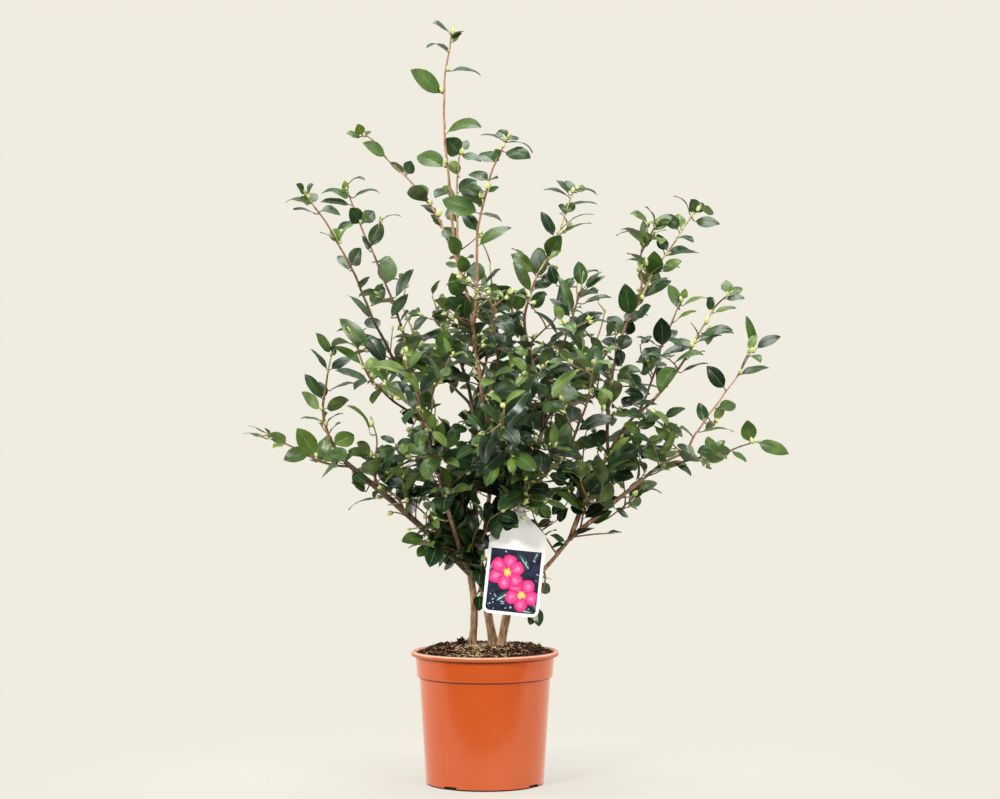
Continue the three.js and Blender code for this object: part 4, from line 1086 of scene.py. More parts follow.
    ("", 600, 390, 608, 412, 18, 50, 0.4, 2), ("", 556, 366, 564, 398, 26, 52, 0.5, 0), ("", 640, 374, 656, 362, 22, 50, 0.4, 1),
    ("", 630, 372, 639, 398, 24, 54, 0.4, 1), ("", 646, 398, 624, 392, 18, 44, 0.5, 0), ("", 640, 345, 652, 336, 12, 40, 0.6, 1),
]
SHOWN_BUDS = [  # shoot, place in the view, length and width in mm
    ("leader", 452, 36, 14, 7), ("top_right", 482, 199, 12, 8), ("top_right", 479, 206, 9, 7), ("top_left", 438, 217, 12, 8.5), ("leader", 442, 93, 10, 5.6), ("leader", 450, 73, 8.5, 5), ("leader", 445, 165, 9, 6),
    ("leader", 446, 134, 6, 3), ("leader", 442, 168, 8, 5.4),
    ("top_middle", 462, 156, 10.5, 7.6), ("top_middle", 459, 178, 6, 3.4), ("top_right", 487, 190, 13, 8), ("top_right", 506, 142, 11, 5),
    ("top_right", 503, 148, 8, 4.4), ("top_right", 476, 300, 9, 6.4), ("top_left", 430, 206, 9, 6), ("top_left", 363, 138, 7, 4),
    ("left_inner", 346, 191, 10, 5.6), ("left_inner", 361, 224, 7, 4), ("left_outer", 304, 196, 10, 5), ("left_outer", 309, 199, 8, 4),
    ("left_outer", 340, 244, 7, 4), ("left_spray", 331, 356, 8, 5), ("left_spray", 322, 411, 8, 5.4), ("left_spray", 327, 426, 8, 5),
    ("far_left", 271, 441, 9, 5.4), ("far_left", 317, 456, 8, 5), ("left_small", 367, 430, 10, 8), ("left_small", 374, 462, 8, 6),
    ("left_middle", 362, 369, 9, 5), ("left_middle", 372, 378, 10, 6), ("centre_top", 572, 193, 9, 6), ("centre_top", 578, 190, 8, 5),
    ("right_top", 697, 212, 11, 6.5), ("right_top", 691, 218, 9, 5), ("right_top", 641, 300, 9, 6), ("right_top_2", 641, 272, 12, 8.6),
    ("right_top_2", 649, 225, 9, 6), ("right_upper_2", 682, 302, 9, 5), ("right_upper", 706, 325, 13, 6.6), ("right_upper", 692, 348, 10, 7),
    ("right_upper", 696, 344, 9, 5), ("right_upper", 728, 297, 8, 4.4), ("right_spray", 753, 353, 9, 7), ("right_spray", 740, 374, 8, 6),
    ("right_low", 753, 444, 10, 6), ("right_low", 703, 460, 11, 7), ("right_low", 706, 457, 8, 5),
]
SHOWN_ON = {row[0] for row in SHOWN if row[0] and not row[0].startswith("low_")}
BY_NAME = {info["name"]: info for info in sk.shoots if info["kind"] == "lead"}


def shoot_point(name, px, py):
    """The point of a shoot that shows nearest to a place in the view."""
    best, bd = None, 1e9
    for q in BY_NAME[name]["pts"]:
        x, y = seen_at(q)
        d = (x - px) ** 2 + (y - py) ** 2
        if d < bd:
            best, bd = q, d
    return best


def nearest_wood(px, py):
    """The point of any shoot or limb that shows nearest to a place in the view."""
    best, bc = None, 1e9
    for q in sk.p:
        x, y = seen_at(q)
        c = math.hypot(x - px, y - py) + 0.035 * abs(q.y + 20)
        if c < bc:
            best, bc = q, c
    return best


def show_leaf(name, bx, by, tx, ty, W, face, curve, tone):
    on = shoot_point(name, bx, by) if name else nearest_wood(bx, by)
    foot = at(bx, by, on.y)
    if (foot - on).length > 0.9:
        tube(twig_build, [on, on.lerp(foot, 0.5) + Vector((0, 0, -0.4)), foot], [0.9, 0.8, 0.75], 6, 2)
    tip = at(tx, ty, on.y)
    flat = (tip - foot).length
    real = max(flat * 1.03, W / rnd.uniform(0.52, 0.60))
    real = min(real, flat * (2.1 if abs(face) < 50 else 1.3))
    depth = math.sqrt(max(0.0, real * real - flat * flat))
    tip = tip + Vector((0, depth * (1 if rnd.random() < 0.5 else -1), 0))
    D = (tip - foot).normalized()
    f = math.radians(max(15, abs(face)))
    N = Vector((0, 0, 1)) * math.cos(f) + Vector((0, -1 if face >= 0 else 1, 0)) * math.sin(f)
    n0 = N - D * N.dot(D)
    n0 = n0.normalized() if n0.length > 1e-3 else D.orthogonal().normalized()
    dl = (curve + 0.12) / 2.5 - 0.12
    d0 = D * math.cos(dl) + n0 * math.sin(dl)
    n1 = n0 * math.cos(dl) - D * math.sin(dl)
    stalk = 3.0
    L = max(8.0, (real - stalk) * (1 + 0.09 * curve * curve))
    group = BY_NAME[name]["group"] if name else "left" if bx < 470 else "centre" if bx < 600 else "right"
    put_leaf(group, foot, d0, n1, L, W, tone, stalk=stalk, curve=curve, fold=rnd.uniform(0.08, 0.24), free=True)


def green_with_painted_light(p, age, lean=0.0):
    """A leaf's green: mixed at random on new growth, darker the older the leaf, and painted shade and painted light by
    place: darker deep in the crown and across its upper middle, lighter towards the outside, the top, the far left and
    right and the outer low leaves.
    """
    if age < 0.10:
        return rnd.choice((1, 2, 2, 3))
    inner = math.sqrt(((p.x - 15) / 250) ** 2 + (p.y / 230) ** 2 + ((p.z - 430) / 330) ** 2)
    # the terms for the far left, far right, upper middle and outer low leaves are painted light and painted shade
    x = rnd.random() + 0.62 * (inner - 0.74) - 0.22 * age + lean + (0.26 if p.x < -70 else 0.20 if p.x > 120 else -0.15 if 500 < p.z < 690 else -0.05 if p.z < 500 else 0.0)
    x += 0.16 if abs(p.x - 20) > 130 and p.z < 520 else 0.09 if p.z < 430 else 0.0
    return 0 if x < 0.41 else 1 if x < 0.75 else 2 if x < 1.0 else 3


THIN_LOW = {"low_1", "low_2", "low_14", "low_19", "low_23", "low_24"}


def dress(info, number):
    """Leaves and buds along one shoot. Every leaf has a seed of its own, from its shoot and its place on it."""
    rnd.seed(5000 + number * 101)
    pts, total = info["pts"], info["length"]
    T, N, B = frames_along(pts)
    start = info.get("leafy")
    s0 = max(total * info["bare"], total - start if start else 0, 10 if total > 40 else 4)
    gap = info["gap"]
    acc = [0.0]
    for a, b in zip(pts, pts[1:]):
        acc.append(acc[-1] + (b - a).length)
    turn = rnd.uniform(0, 2 * math.pi)
    s = s0 + rnd.uniform(0, gap * 0.5)
    spiral = math.radians(137.5)
    group = info["group"]
    shown = info["name"] in SHOWN_ON
    lean = rnd.uniform(-0.14, 0.14)
    count = 0
    while s < total - 2:
        count += 1
        rnd.seed(5000 + number * 101 + count)
        i = min(len(pts) - 2, max(0, int(np.searchsorted(acc, s)) - 1))
        f = (s - acc[i]) / max(1e-6, acc[i + 1] - acc[i])
        p = pts[i].lerp(pts[i + 1], f)
        t = T[i]
        flat = 1 - abs(t.z)
        turn += spiral * (1 - flat * 0.25) + rnd.uniform(-0.35, 0.35)
        radial = N[i] * math.cos(turn) + B[i] * math.sin(turn)
        age = (total - s) / max(60.0, total)
        open_ = rnd.uniform(0.72, 1.15) * (0.62 if total - s < 16 else 1.0)
        d = radial * math.sin(open_) + t * math.cos(open_)
        d.z = d.z * 0.72 + 0.16 - 0.26 * rnd.random()
        out = Vector((p.x - AXIS.x, p.y - AXIS.y, 0))
        out = out.normalized() if out.length > 1 else Vector((0, -1, 0))
        wild = Vector((rnd.uniform(-1, 1), rnd.uniform(-1, 1), rnd.uniform(-1, 1)))
        if p.z > 520:
            nrm = t * 0.25 + Vector((0, 0, 1.02)) + out * 0.28 + wild * 0.42
        else:
            nrm = t * 0.35 + Vector((0, 0, 0.84)) + out * 0.46 + wild * 0.46
        if info["name"] in THIN_LOW and rnd.random() < 0.62:
            s += gap * rnd.uniform(0.8, 1.25)
            continue
        if shown and (abs(d.normalized().y) < 0.72 or rnd.random() < (0.8 if info["name"] == "leader" else 0.6)):
            s += gap * rnd.uniform(0.8, 1.25)
            continue
        near_tip = total - s < 14
        low = p.z < 440
        L = (rnd.uniform(40, 51) if low else rnd.uniform(38, 50)) * (0.74 if near_tip else 1.0)
        W = L * (rnd.uniform(0.53, 0.63) if low else rnd.uniform(0.48, 0.60) if p.z < 520 else rnd.uniform(0.44, 0.55))
        ok = put_leaf(group, p + radial * 0.8, d, nrm, L, W, green_with_painted_light(p, (total - s) / 90.0, lean), curve=rnd.uniform(0.2, 0.8) if low or shown else rnd.uniform(0.5, 1.45) if p.z > 520 else None)
        if ok and rnd.random() < 0.36:
            bd = (radial * 0.6 + t * 0.9).normalized()
            if rnd.random() < 0.5:
                put_bud(p + radial * 1.0, bd, rnd.uniform(8, 11), rnd.uniform(5.2, 7.2), 0 if rnd.random() < 0.75 else 1)
            else:
                put_bud(p + radial * 0.9, bd, rnd.uniform(4.5, 7), rnd.uniform(1.9, 2.8), 1)
        s += gap * rnd.uniform(0.8, 1.25)
    # the end of the shoot: a whorl of small leaves round its buds
    rnd.seed(5000 + number * 101 + 90)
    end, t = pts[-1], T[-1]
    if shown:
        put_bud(end - t * 1, t, rnd.uniform(7, 10), rnd.uniform(2.6, 3.6), 1)
        return
    for j in range(3):
        a = turn + (j + 1) * 2.2
        radial = N[-1] * math.cos(a) + B[-1] * math.sin(a)
        d = radial * 0.75 + t * 0.65
        put_leaf(group, end - t * (1 + j), d, t * 0.8 + Vector((0, 0, 0.5)), rnd.uniform(20, 32), rnd.uniform(10, 15), rnd.choice((1, 2, 2, 3, 3)) if info["kind"] == "side" else 3)
    if not in_sky(end):
        put_bud(end - t * 1, t, rnd.uniform(7, 10), rnd.uniform(2.6, 3.6), 1)
        if rnd.random() < 0.75:
            put_bud(end - t * 2, t + N[-1] * 0.6, rnd.uniform(8, 11), rnd.uniform(5.2, 7.4), 0)


for row in SHOWN:
    rnd.seed(900000 + row[1] * 1000 + row[2])
    show_leaf(*row)
rnd.seed(77)
for name, px, py, L, W in SHOWN_BUDS:
    q = shoot_point(name, px, py)
    d = Vector((rnd.uniform(-0.4, 0.4), -0.35, 1.0))
    foot = at(px, py, q.y - 2.0)
    foot = q + (foot - q) * min(1.0, 3.5 / max(0.1, (foot - q).length))
    put_bud(foot, d, L, W, 0)
for number, info in enumerate(sk.shoots):
    if info["kind"] != "limb":
        dress(info, number)
rnd.seed(78)

# ------------------------------------------------------------------ wood
for info in sk.shoots:
    if info["kind"] == "limb":
        continue
    pts = info["pts"]
    n = len(pts)
    r0, r1 = info["r0"], info["r1"]
    par = sk.up[info["ids"][0]]
    radii = []
    mats = []
    for i in range(n):
        t = i / (n - 1)
        r = r1 + (r0 - r1) * (1 - t) ** 0.8
        radii.append(r * (1 + 0.05 * math.sin(i * 2.1)))
        dist = info["length"] * (1 - t)
        if info["name"] in ("leader", "top_middle", "top_right"):
            mats.append(4 if dist < 10 else 0 if dist < 520 else 1)
        elif info["name"] == "top_left":
            mats.append(4 if dist < 14 else 1 if dist < 60 else 0)
        elif info["name"] in ("right_top", "centre_top"):
            mats.append(4 if dist < 40 else 5 if dist < 150 else 1 if dist < 230 else 2)
        elif info["name"] == "right_spray":
            mats.append(4 if dist < 8 else 2 if dist < 44 else 0 if dist < 190 else 1)
        elif info["name"] == "right_low":
            mats.append(4 if dist < 10 else 2 if dist < 90 else 1)
        elif info["name"] == "right_upper":
            mats.append(4 if dist < 8 else 2 if dist < 30 else 5 if dist < 80 else 1 if dist < 170 else 2)
        elif info["kind"] == "lead":
            mats.append(4 if dist < 20 else 1 if dist < 110 else 2 if dist < 190 else 3)
        else:
            mats.append(4 if dist < 10 else 1 if dist < 34 else 2 if dist < 70 else 3)
    lead_in = pts[0] - (pts[1] - pts[0]).normalized() * 1.5
    sides = 8 if info["kind"] == "lead" else 6
    tube(twig_build, [lead_in] + pts, [radii[0]] + radii, sides, [mats[0]] + mats)

stems = Build("bark_stems")
boughs = Build("bark_boughs")
TIP_FOLLOWS = {}
for name, foot, tip, bow, r0, r1, flare in LIMBS:
    length = sum((b - a).length for a, b in zip(*(lambda q: (q, q[1:]))(limb_path(foot, tip, bow, 12))))
    n = max(10, int(length / 2.2))
    pts = limb_path(foot, tip, bow, n)
    stem = name.endswith("stem")
    radii = []
    for i in range(n + 1):
        v = i / n
        r = r0 + (r1 - r0) * v + flare * math.exp(-v * length / 7)
        if name == "bough_right_low":  # it thins where it runs out among the leaves
            k = max(0.0, min(1.0, (v - 0.3) / 0.3))
            r *= 1 - 0.42 * k * k * (3 - 2 * k)
        radii.append(r)
    seed = len(name) * 3.7 + foot[0]
    if stem:  # a stem runs on a little inside the boughs that leave it
        pts = pts + [pts[-1] + (pts[-1] - pts[-2]).normalized() * 2.5]
        radii = radii + [radii[-1] * 0.7]
        pts = [pts[0] + Vector((0, 0, -4))] + pts
        radii = [radii[0] + 0.5] + radii
    else:
        d0 = (pts[1] - pts[0]).normalized()
        pts = [pts[0] - d0 * 3] + pts
        radii = [radii[0] * 0.9] + radii

    def relief(p, i, a, seed=seed, stem=stem):
        q = p * 0.28 + Vector((seed, 0, 0))
        q.z *= 0.35
        ridge = noise.noise(q * 1.6) * 0.34 + noise.noise(p * 0.55 + Vector((0, seed, 0))) * 0.22
        knot = max(0.0, noise.noise(Vector((seed, p.z * 0.045, 1.7)))) ** 2 * 2.0
        return (ridge + knot * 0.6) * (1.0 if stem else 0.7)

    tone = 0 if stem else 1 if name in ("bough_left_low", "bough_left_upper") else 2 if name in ("bough_right_low", "bough_right_out", "bough_right_rise") else 0
    tube(stems if stem else boughs, pts, radii, 22 if stem else 16, tone, relief)

# ------------------------------------------------------------------ pot
POT = dict(rim_r=95.0, rim_h=6.0, h=171.0, ct=89.5, cb=87.5, ch=33.0, bt=84.2, base=76.0, wall=1.8, floor=3.0)
g = POT
profile = [
    (0, 0.8), (g["base"] - 9, 0.8), (g["base"] - 8, 0.0), (g["base"] - 1.6, 0.0), (g["base"] - 0.4, 0.5), (g["base"] + 0.05, 1.6),
    (g["base"] + 0.1, 2.0), (g["base"] + 0.25, 4.0),
]
z0, z1 = 4.0, g["h"] - g["ch"] - 3.0
for i in range(1, 13):
    t = i / 12
    profile.append((g["base"] + 0.25 + (g["bt"] - g["base"] - 0.25) * t, z0 + (z1 - z0) * t))
profile += [
    (g["bt"] + 0.1, g["h"] - g["ch"] - 1.6), (g["bt"] + 0.7, g["h"] - g["ch"] - 0.7), (g["cb"] - 0.9, g["h"] - g["ch"] - 0.2),
    (g["cb"] - 0.1, g["h"] - g["ch"] + 0.5), (g["cb"] + 0.1, g["h"] - g["ch"] + 1.4),
]
for i in range(1, 6):
    t = i / 5
    profile.append((g["cb"] + 0.1 + (g["ct"] - g["cb"] - 0.1) * t, g["h"] - g["ch"] + 1.4 + (g["ch"] - 1.4 - g["rim_h"] - 0.6) * t))
R, H, h0 = g["rim_r"], g["h"], g["h"] - g["rim_h"]
profile += [
    (g["ct"] - 0.05, h0 - 1.5), (g["ct"] - 0.75, h0 - 1.1), (g["ct"] - 0.75, h0 - 0.2), (g["ct"] + 1.3, h0), (R - 1.5, h0), (R - 0.5, h0 + 0.3), (R, h0 + 1.2), (R, h0 + 2.4),
    (R - 0.1, H - 2.0), (R - 0.6, H - 0.9), (R - 1.6, H - 0.2), (R - 2.6, H), (R - 4.0, H - 0.1), (R - 5.6, H - 0.8),
    (g["ct"] - g["wall"] + 0.5, H - 1.8), (g["ct"] - g["wall"], H - 3.5), (g["ct"] - g["wall"] - 0.4, H - 14),
    (g["cb"] - g["wall"], g["h"] - g["ch"] + 1), (g["bt"] - g["wall"], g["h"] - g["ch"] - 2),
    (g["base"] - g["wall"], g["floor"] + 2), (g["base"] - g["wall"] - 2, g["floor"]), (0, g["floor"]),
]
SEG = 180
inner_from = len(profile) - 8
# the two creases, under the lip and under the step, are painted dark: painted shade
SHADED_CREASES = {
    a for a, ((ra, za), (rb, zb)) in enumerate(zip(profile, profile[1:]))
    if a < inner_from and (h0 - 1.4 < (za + zb) / 2 <= h0 and max(ra, rb) < R - 2 or H - g["ch"] - 1.7 < (za + zb) / 2 < H - g["ch"] + 0.3)
}
# the lip is duller than the wall; its top edge is painted pale pink, a painted highlight, and the foot band is painted
# near-black, a painted contact shadow
LIP, EDGE = set(), set()
for a, ((ra, za), (rb, zb)) in enumerate(zip(profile, profile[1:])):
    if a < inner_from and min(za, zb) >= h0 - 0.01 and min(ra, rb) > g["ct"] + 1 and max(za, zb) <= H - 1.9:
        LIP.add(a)
    elif a < inner_from and min(za, zb) >= H - 2.05:
        EDGE.add(a)
bm = bmesh.new()
rings = []
for r, z in profile:
    if r == 0:
        rings.append([bm.verts.new((0, 0, z * MM))])
    else:
        rings.append([
            bm.verts.new((r * MM * math.cos(2 * math.pi * k / SEG), r * MM * math.sin(2 * math.pi * k / SEG), z * MM))
            for k in range(SEG)
        ])
for a in range(len(rings) - 1):
    A, Bq = rings[a], rings[a + 1]
    for k in range(SEG):
        q = (k + 1) % SEG
        if len(A) == 1:
            f = bm.faces.new((A[0], Bq[q], Bq[k]))
        elif len(Bq) == 1:
            f = bm.faces.new((A[k], A[q], Bq[0]))
        else:
            f = bm.faces.new((A[k], A[q], Bq[q], Bq[k]))
        f.smooth = True
        # slot 5, on the lowest rings of the profile, is the painted contact shadow of the foot
        f.material_index = 1 if a >= inner_from else 2 if a in SHADED_CREASES else 3 if a in LIP else 4 if a in EDGE else 5 if a < 6 else 0
bmesh.ops.recalc_face_normals(bm, faces=bm.faces)
me = bpy.data.meshes.new("nursery_pot")
bm.to_mesh(me)
bm.free()
pot = bpy.data.objects.new("nursery_pot", me)
bpy.context.collection.objects.link(pot)
me.materials.append(pot_mat)
me.materials.append(pot_inside_shade_mat)
me.materials.append(pot_crease_shade_mat)
me.materials.append(pot_lip_mat)
me.materials.append(pot_edge_highlight_mat)
me.materials.append(pot_foot_shade_mat)
# drain notches in the foot
cut = bmesh.new()
for i in range(4):
    a = math.radians(-125 + 90 * i)
    m = Matrix.Rotation(a, 4, "Z") @ Matrix.Translation(((g["base"] + 3.2) * MM, 0, 0)) @ Matrix.Diagonal((11.6 * MM, 19 * MM, 8.8 * MM, 1))
    bmesh.ops.create_cube(cut, size=1.0, matrix=m)
cme = bpy.data.meshes.new("notch_tool")
cut.to_mesh(cme)
cut.free()
tool = bpy.data.objects.new("notch_tool", cme)
bpy.context.collection.objects.link(tool)
mod = pot.modifiers.new("notches", "BOOLEAN")
mod.object, mod.operation, mod.solver = tool, "DIFFERENCE", "EXACT"
dg = bpy.context.evaluated_depsgraph_get()
done = bpy.data.meshes.new_from_object(pot.evaluated_get(dg))
pot.modifiers.clear()
pot.data = done
bpy.data.objects.remove(tool)
# the notch faces and the inside of the foot ring are painted near-black: painted shade
for p in pot.data.polygons:
    p.use_smooth = True
    c = p.center / MM
    if c.z < 4.5 and 60 < math.hypot(c.x, c.y) < g["base"] - 0.2:
        p.material_index = 5
pot.data.set_sharp_from_angle(angle=math.radians(38))

# ------------------------------------------------------------------ root ball
def soil_z(x, y):
    r = math.hypot(x, y)
    pr = [(0, 178.0), (34, 178.0), (52, 174.8), (72, 171.3), (88, 167.0)]
    z = pr[-1][1]
    for (ra, za), (rb, zb) in zip(pr, pr[1:]):
        if ra <= r <= rb:
            t = (r - ra) / (rb - ra)
            t = t * t * (3 - 2 * t)
            z = za + (zb - za) * t
            break
    # heaped against the back and the sides
    back = max(0.0, min(1.0, (y + 25) / 60))
    z += 4.2 * back * math.exp(-(((r - 71) / 12) ** 2))
    z += 2.6 * math.exp(-(((x + 31) / 11) ** 2) - ((y - 3) / 11) ** 2)
    q = Vector((x, y, 0))
    z += noise.noise(q * 0.055) * 1.4 + noise.noise(q * 0.16 + Vector((7, 0, 0))) * 1.5 + noise.noise(q * 0.5) * 0.9
    z += abs(noise.noise(q * 1.1)) * 1.1
    return z - 0.8


soil = Build("root_ball")
RINGS, SEGS = 64, 150
R_SOIL = 86.6
verts, faces = [(0, 0, soil_z(0, 0))], []
for i in range(1, RINGS + 1):
    r = R_SOIL * (i / RINGS) ** 0.85
    for k in range(SEGS):
        a = 2 * math.pi * (k + 0.5 * (i % 2)) / SEGS
        x, y = r * math.cos(a), r * math.sin(a)
        verts.append((x, y, soil_z(x, y) + (-0.8 if i == RINGS else 0)))
for k in range(SEGS):
    faces.append((0, 1 + k, 1 + (k + 1) % SEGS))
for i in range(1, RINGS):
    o, q = 1 + (i - 1) * SEGS, 1 + i * SEGS
    for k in range(SEGS):
        faces.append((o + k, q + k, q + (k + 1) % SEGS, o + (k + 1) % SEGS))
# its side and underside, inside the pot
o = 1 + (RINGS - 1) * SEGS
low = []
for z, rr in ((141.5, 84.4), (136.0, 81.4), (60.0, 77.5), (3.6, 73.6)):
    b = len(verts)
    for k in range(SEGS):
        a = 2 * math.pi * (k + 0.5 * (RINGS % 2)) / SEGS
        verts.append((rr * math.cos(a), rr * math.sin(a), z))
    for k in range(SEGS):
        faces.append((o + k, b + k, b + (k + 1) % SEGS, o + (k + 1) % SEGS))
    o = b
faces.append(tuple(o + k for k in range(SEGS - 1, -1, -1)))
soil.add(verts, faces, 0)

crumbs = Build("compost_crumbs")
ico = bmesh.new()
bmesh.ops.create_icosphere(ico, subdivisions=1, radius=1.0)
ICO_V = [v.co.copy() for v in ico.verts]
ICO_F = [tuple(v.index for v in f.verts) for f in ico.faces]
ico.free()
crnd = random.Random(5)


def clod(c, size, mat, squash=(0.45, 0.9)):
    sx, sy, sz = crnd.uniform(0.55, 1.35), crnd.uniform(0.55, 1.35), crnd.uniform(*squash)
    rot = Matrix.Rotation(crnd.uniform(0, 6.28), 3, "Z") @ Matrix.Rotation(crnd.uniform(-0.8, 0.8), 3, "X")
    crumbs.add([tuple(c + rot @ (Vector((v.x * sx, v.y * sy, v.z * sz)) * size * (1 + crnd.uniform(-0.3, 0.3)))) for v in ICO_V], ICO_F, mat)


def straw(x, y, L, h, mat, rise=0.0, thick=0.42):
    """A bit of fibre that lies on the compost, or stands up from it by rise."""
    pts = []
    bend = crnd.uniform(-0.35, 0.35)
    for k in range(6):
        t = k / 5
        hh = h + bend * (t - 0.5)
        xx = x + math.cos(hh) * L * (t - 0.5) + crnd.uniform(-0.3, 0.3)
        yy = y + math.sin(hh) * L * (t - 0.5) + crnd.uniform(-0.3, 0.3)
        rr = math.hypot(xx, yy)
        if rr > 84.5:
            xx, yy = xx * 84.5 / rr, yy * 84.5 / rr
        pts.append(Vector((xx, yy, soil_z(xx, yy) + 0.6 + rise * t * t + 0.9 * math.sin(math.pi * t))))
    tube(crumbs, pts, [thick * k for k in (0.6, 0.95, 1.0, 0.95, 0.8, 0.45)], 5, mat)


for _ in range(2700):
    rr = 85.0 * math.sqrt(crnd.random())
    a = crnd.uniform(0, 2 * math.pi)
    x, y = rr * math.cos(a), rr * math.sin(a)
    size = crnd.choice([0.7, 0.9, 1.1, 1.4, 1.9, 2.5]) * crnd.uniform(0.7, 1.2)
    mid = math.exp(-(((x + 4) / 46) ** 2) - ((y + 12) / 60) ** 2)  # the litter lies in the middle
    u = crnd.random()
    m = 0 if u < 0.34 else 1 if u < 0.68 else 5 if u < 0.89 - 0.14 * mid else 2 if u < 0.90 + 0.05 * mid else 4 if u < 0.96 else 1
    clod(Vector((x, y, soil_z(x, y) + size * 0.2)), size * (0.85 if m in (2, 3) else 1.0), m)
# bits of fibre, straw and bark
for _ in range(560):
    x, y = crnd.gauss(-5, 23), crnd.gauss(-18, 32)
    if math.hypot(x, y) > 80:
        continue
    straw(x, y, crnd.uniform(5, 17), crnd.uniform(0, math.pi), crnd.choice([2, 2, 3, 3, 1, 1, 5]), 0.0, crnd.uniform(0.28, 0.55))
for _ in range(260):
    a, rr = crnd.uniform(0, 2 * math.pi), crnd.uniform(34, 82)
    straw(rr * math.cos(a), rr * math.sin(a), crnd.uniform(4, 11), crnd.uniform(0, math.pi), crnd.choice([1, 5, 0, 2]), crnd.uniform(0, 1.5), crnd.uniform(0.3, 0.6))
# withered scales at the foot of the left stem, and a few bits that stand up at the right
for _ in range(46):
    x, y = crnd.gauss(-31, 5.5), crnd.gauss(0, 5)
    top = max(0.0, 9.0 - 0.9 * abs(x + 31))
    clod(Vector((x, y, soil_z(x, y) + crnd.uniform(0.3, 1.0) * top)), crnd.uniform(1.3, 2.6), crnd.choice([0, 5, 5, 1]), (0.25, 0.5))
for _ in range(22):
    straw(crnd.gauss(-31, 5), crnd.gauss(0, 4), crnd.uniform(4, 9), crnd.uniform(0, 6.28), crnd.choice([5, 1, 0]), crnd.uniform(3, 8), 0.6)
for _ in range(26):
    straw(crnd.uniform(42, 72), crnd.uniform(-5, 35), crnd.uniform(3, 7), crnd.uniform(0, 6.28), crnd.choice([1, 5, 0, 2]), crnd.uniform(1.5, 5.5), 0.45)

# ------------------------------------------------------------------ hang label
LABEL_W, LABEL_H, NECK_H, NECK_W, LABEL_T, CORNER, LEAN = 72.0, 104.0, 30.0, 15.0, 0.8, 9.0, math.radians(6)
LABEL_FOOT = Vector((32, -52, 221))
lm = Matrix.Translation(LABEL_FOOT) @ Matrix.Rotation(LEAN, 4, "Y") @ Matrix.Rotation(math.pi / 2, 4, "X")


def outline(inset=0.0, top=None, n=9):
    w, c = LABEL_W / 2 - inset, max(0.5, CORNER - inset)
    pts = []
    for k in range(n + 1):
        a = -math.pi / 2 + (math.pi / 2) * k / n
        pts.append((w - c + c * math.cos(a), inset + c + c * math.sin(a)))
    if top is None:
        nk = NECK_W / 2
        pts += [(w, LABEL_H), (nk, LABEL_H + NECK_H - 6), (nk, LABEL_H + NECK_H - 2), (-nk, LABEL_H + NECK_H - 2), (-nk, LABEL_H + NECK_H - 6), (-w, LABEL_H)]
    else:
        pts += [(w, top), (-w, top)]
    for k in range(n + 1):
        a = math.pi + (math.pi / 2) * k / n
        pts.append((-w + c + c * math.cos(a), inset + c + c * math.sin(a)))
    return pts


def bow_of(x, y):
    """The card is thin and hangs a little bent."""
    return 1.1 * math.cos(x / 36.0 * 1.3) - 0.9 + 0.7 * math.sin(y / 104.0 * 2.4)


def plate(build, pts, z0, z1, mat):
    n = len(pts)
    vs = [tuple(lm @ Vector((x, y, z0 + bow_of(x, y)))) for x, y in pts] + [tuple(lm @ Vector((x, y, z1 + bow_of(x, y)))) for x, y in pts]
    fs = [tuple(range(n - 1, -1, -1)), tuple(range(n, 2 * n))] + [(k, (k + 1) % n, n + (k + 1) % n, n + k) for k in range(n)]
    build.add(vs, fs, mat)


label = Build("hang_label")


def grid_plate(build, inset, top, z_back, z_front, mat, edge_mat=None):
    """A plate that follows the card's bend, built from rows across it."""
    rows = []
    w0 = LABEL_W / 2 - inset
    c = max(0.5, CORNER - inset)
    turn = [inset + c * (1 - math.cos(math.pi / 2 * k / 9)) for k in range(9)]
    ys = turn + list(np.linspace(inset + c, top, 28))
    for y in ys:
        w = w0
        if y - inset < c:
            w = w0 - c + math.sqrt(max(0, c * c - (c - (y - inset)) ** 2))
        if y > LABEL_H:
            t = (y - LABEL_H) / (NECK_H - 6)
            w = max(NECK_W / 2, LABEL_W / 2 - (LABEL_W / 2 - NECK_W / 2) * t)
        rows.append((y, w))
    n = 13
    front, back = [], []
    for y, w in rows:
        front.append([tuple(lm @ Vector((w * (2 * k / (n - 1) - 1), y, z_front + bow_of(w * (2 * k / (n - 1) - 1), y)))) for k in range(n)])
        back.append([tuple(lm @ Vector((w * (2 * k / (n - 1) - 1), y, z_back + bow_of(w * (2 * k / (n - 1) - 1), y)))) for k in range(n)])
    vs = [v for r in front for v in r] + [v for r in back for v in r]
    m = len(rows)
    F = lambda r, k: r * n + k
    Bk = lambda r, k: m * n + r * n + k
    fs = []
    for r in range(m - 1):
        for k in range(n - 1):
            fs.append((F(r, k), F(r, k + 1), F(r + 1, k + 1), F(r + 1, k)))
            fs.append((Bk(r, k), Bk(r + 1, k), Bk(r + 1, k + 1), Bk(r, k + 1)))
        fs.append((F(r, 0), F(r + 1, 0), Bk(r + 1, 0), Bk(r, 0)))
        fs.append((F(r, n - 1), Bk(r, n - 1), Bk(r + 1, n - 1), F(r + 1, n - 1)))
    for k in range(n - 1):
        fs.append((F(0, k), Bk(0, k), Bk(0, k + 1), F(0, k + 1)))
        fs.append((F(m - 1, k), F(m - 1, k + 1), Bk(m - 1, k + 1), Bk(m - 1, k)))
    build.add(vs, fs, mat)


grid_plate(label, 0.0, LABEL_H + NECK_H - 3, 0.0, LABEL_T, 0)
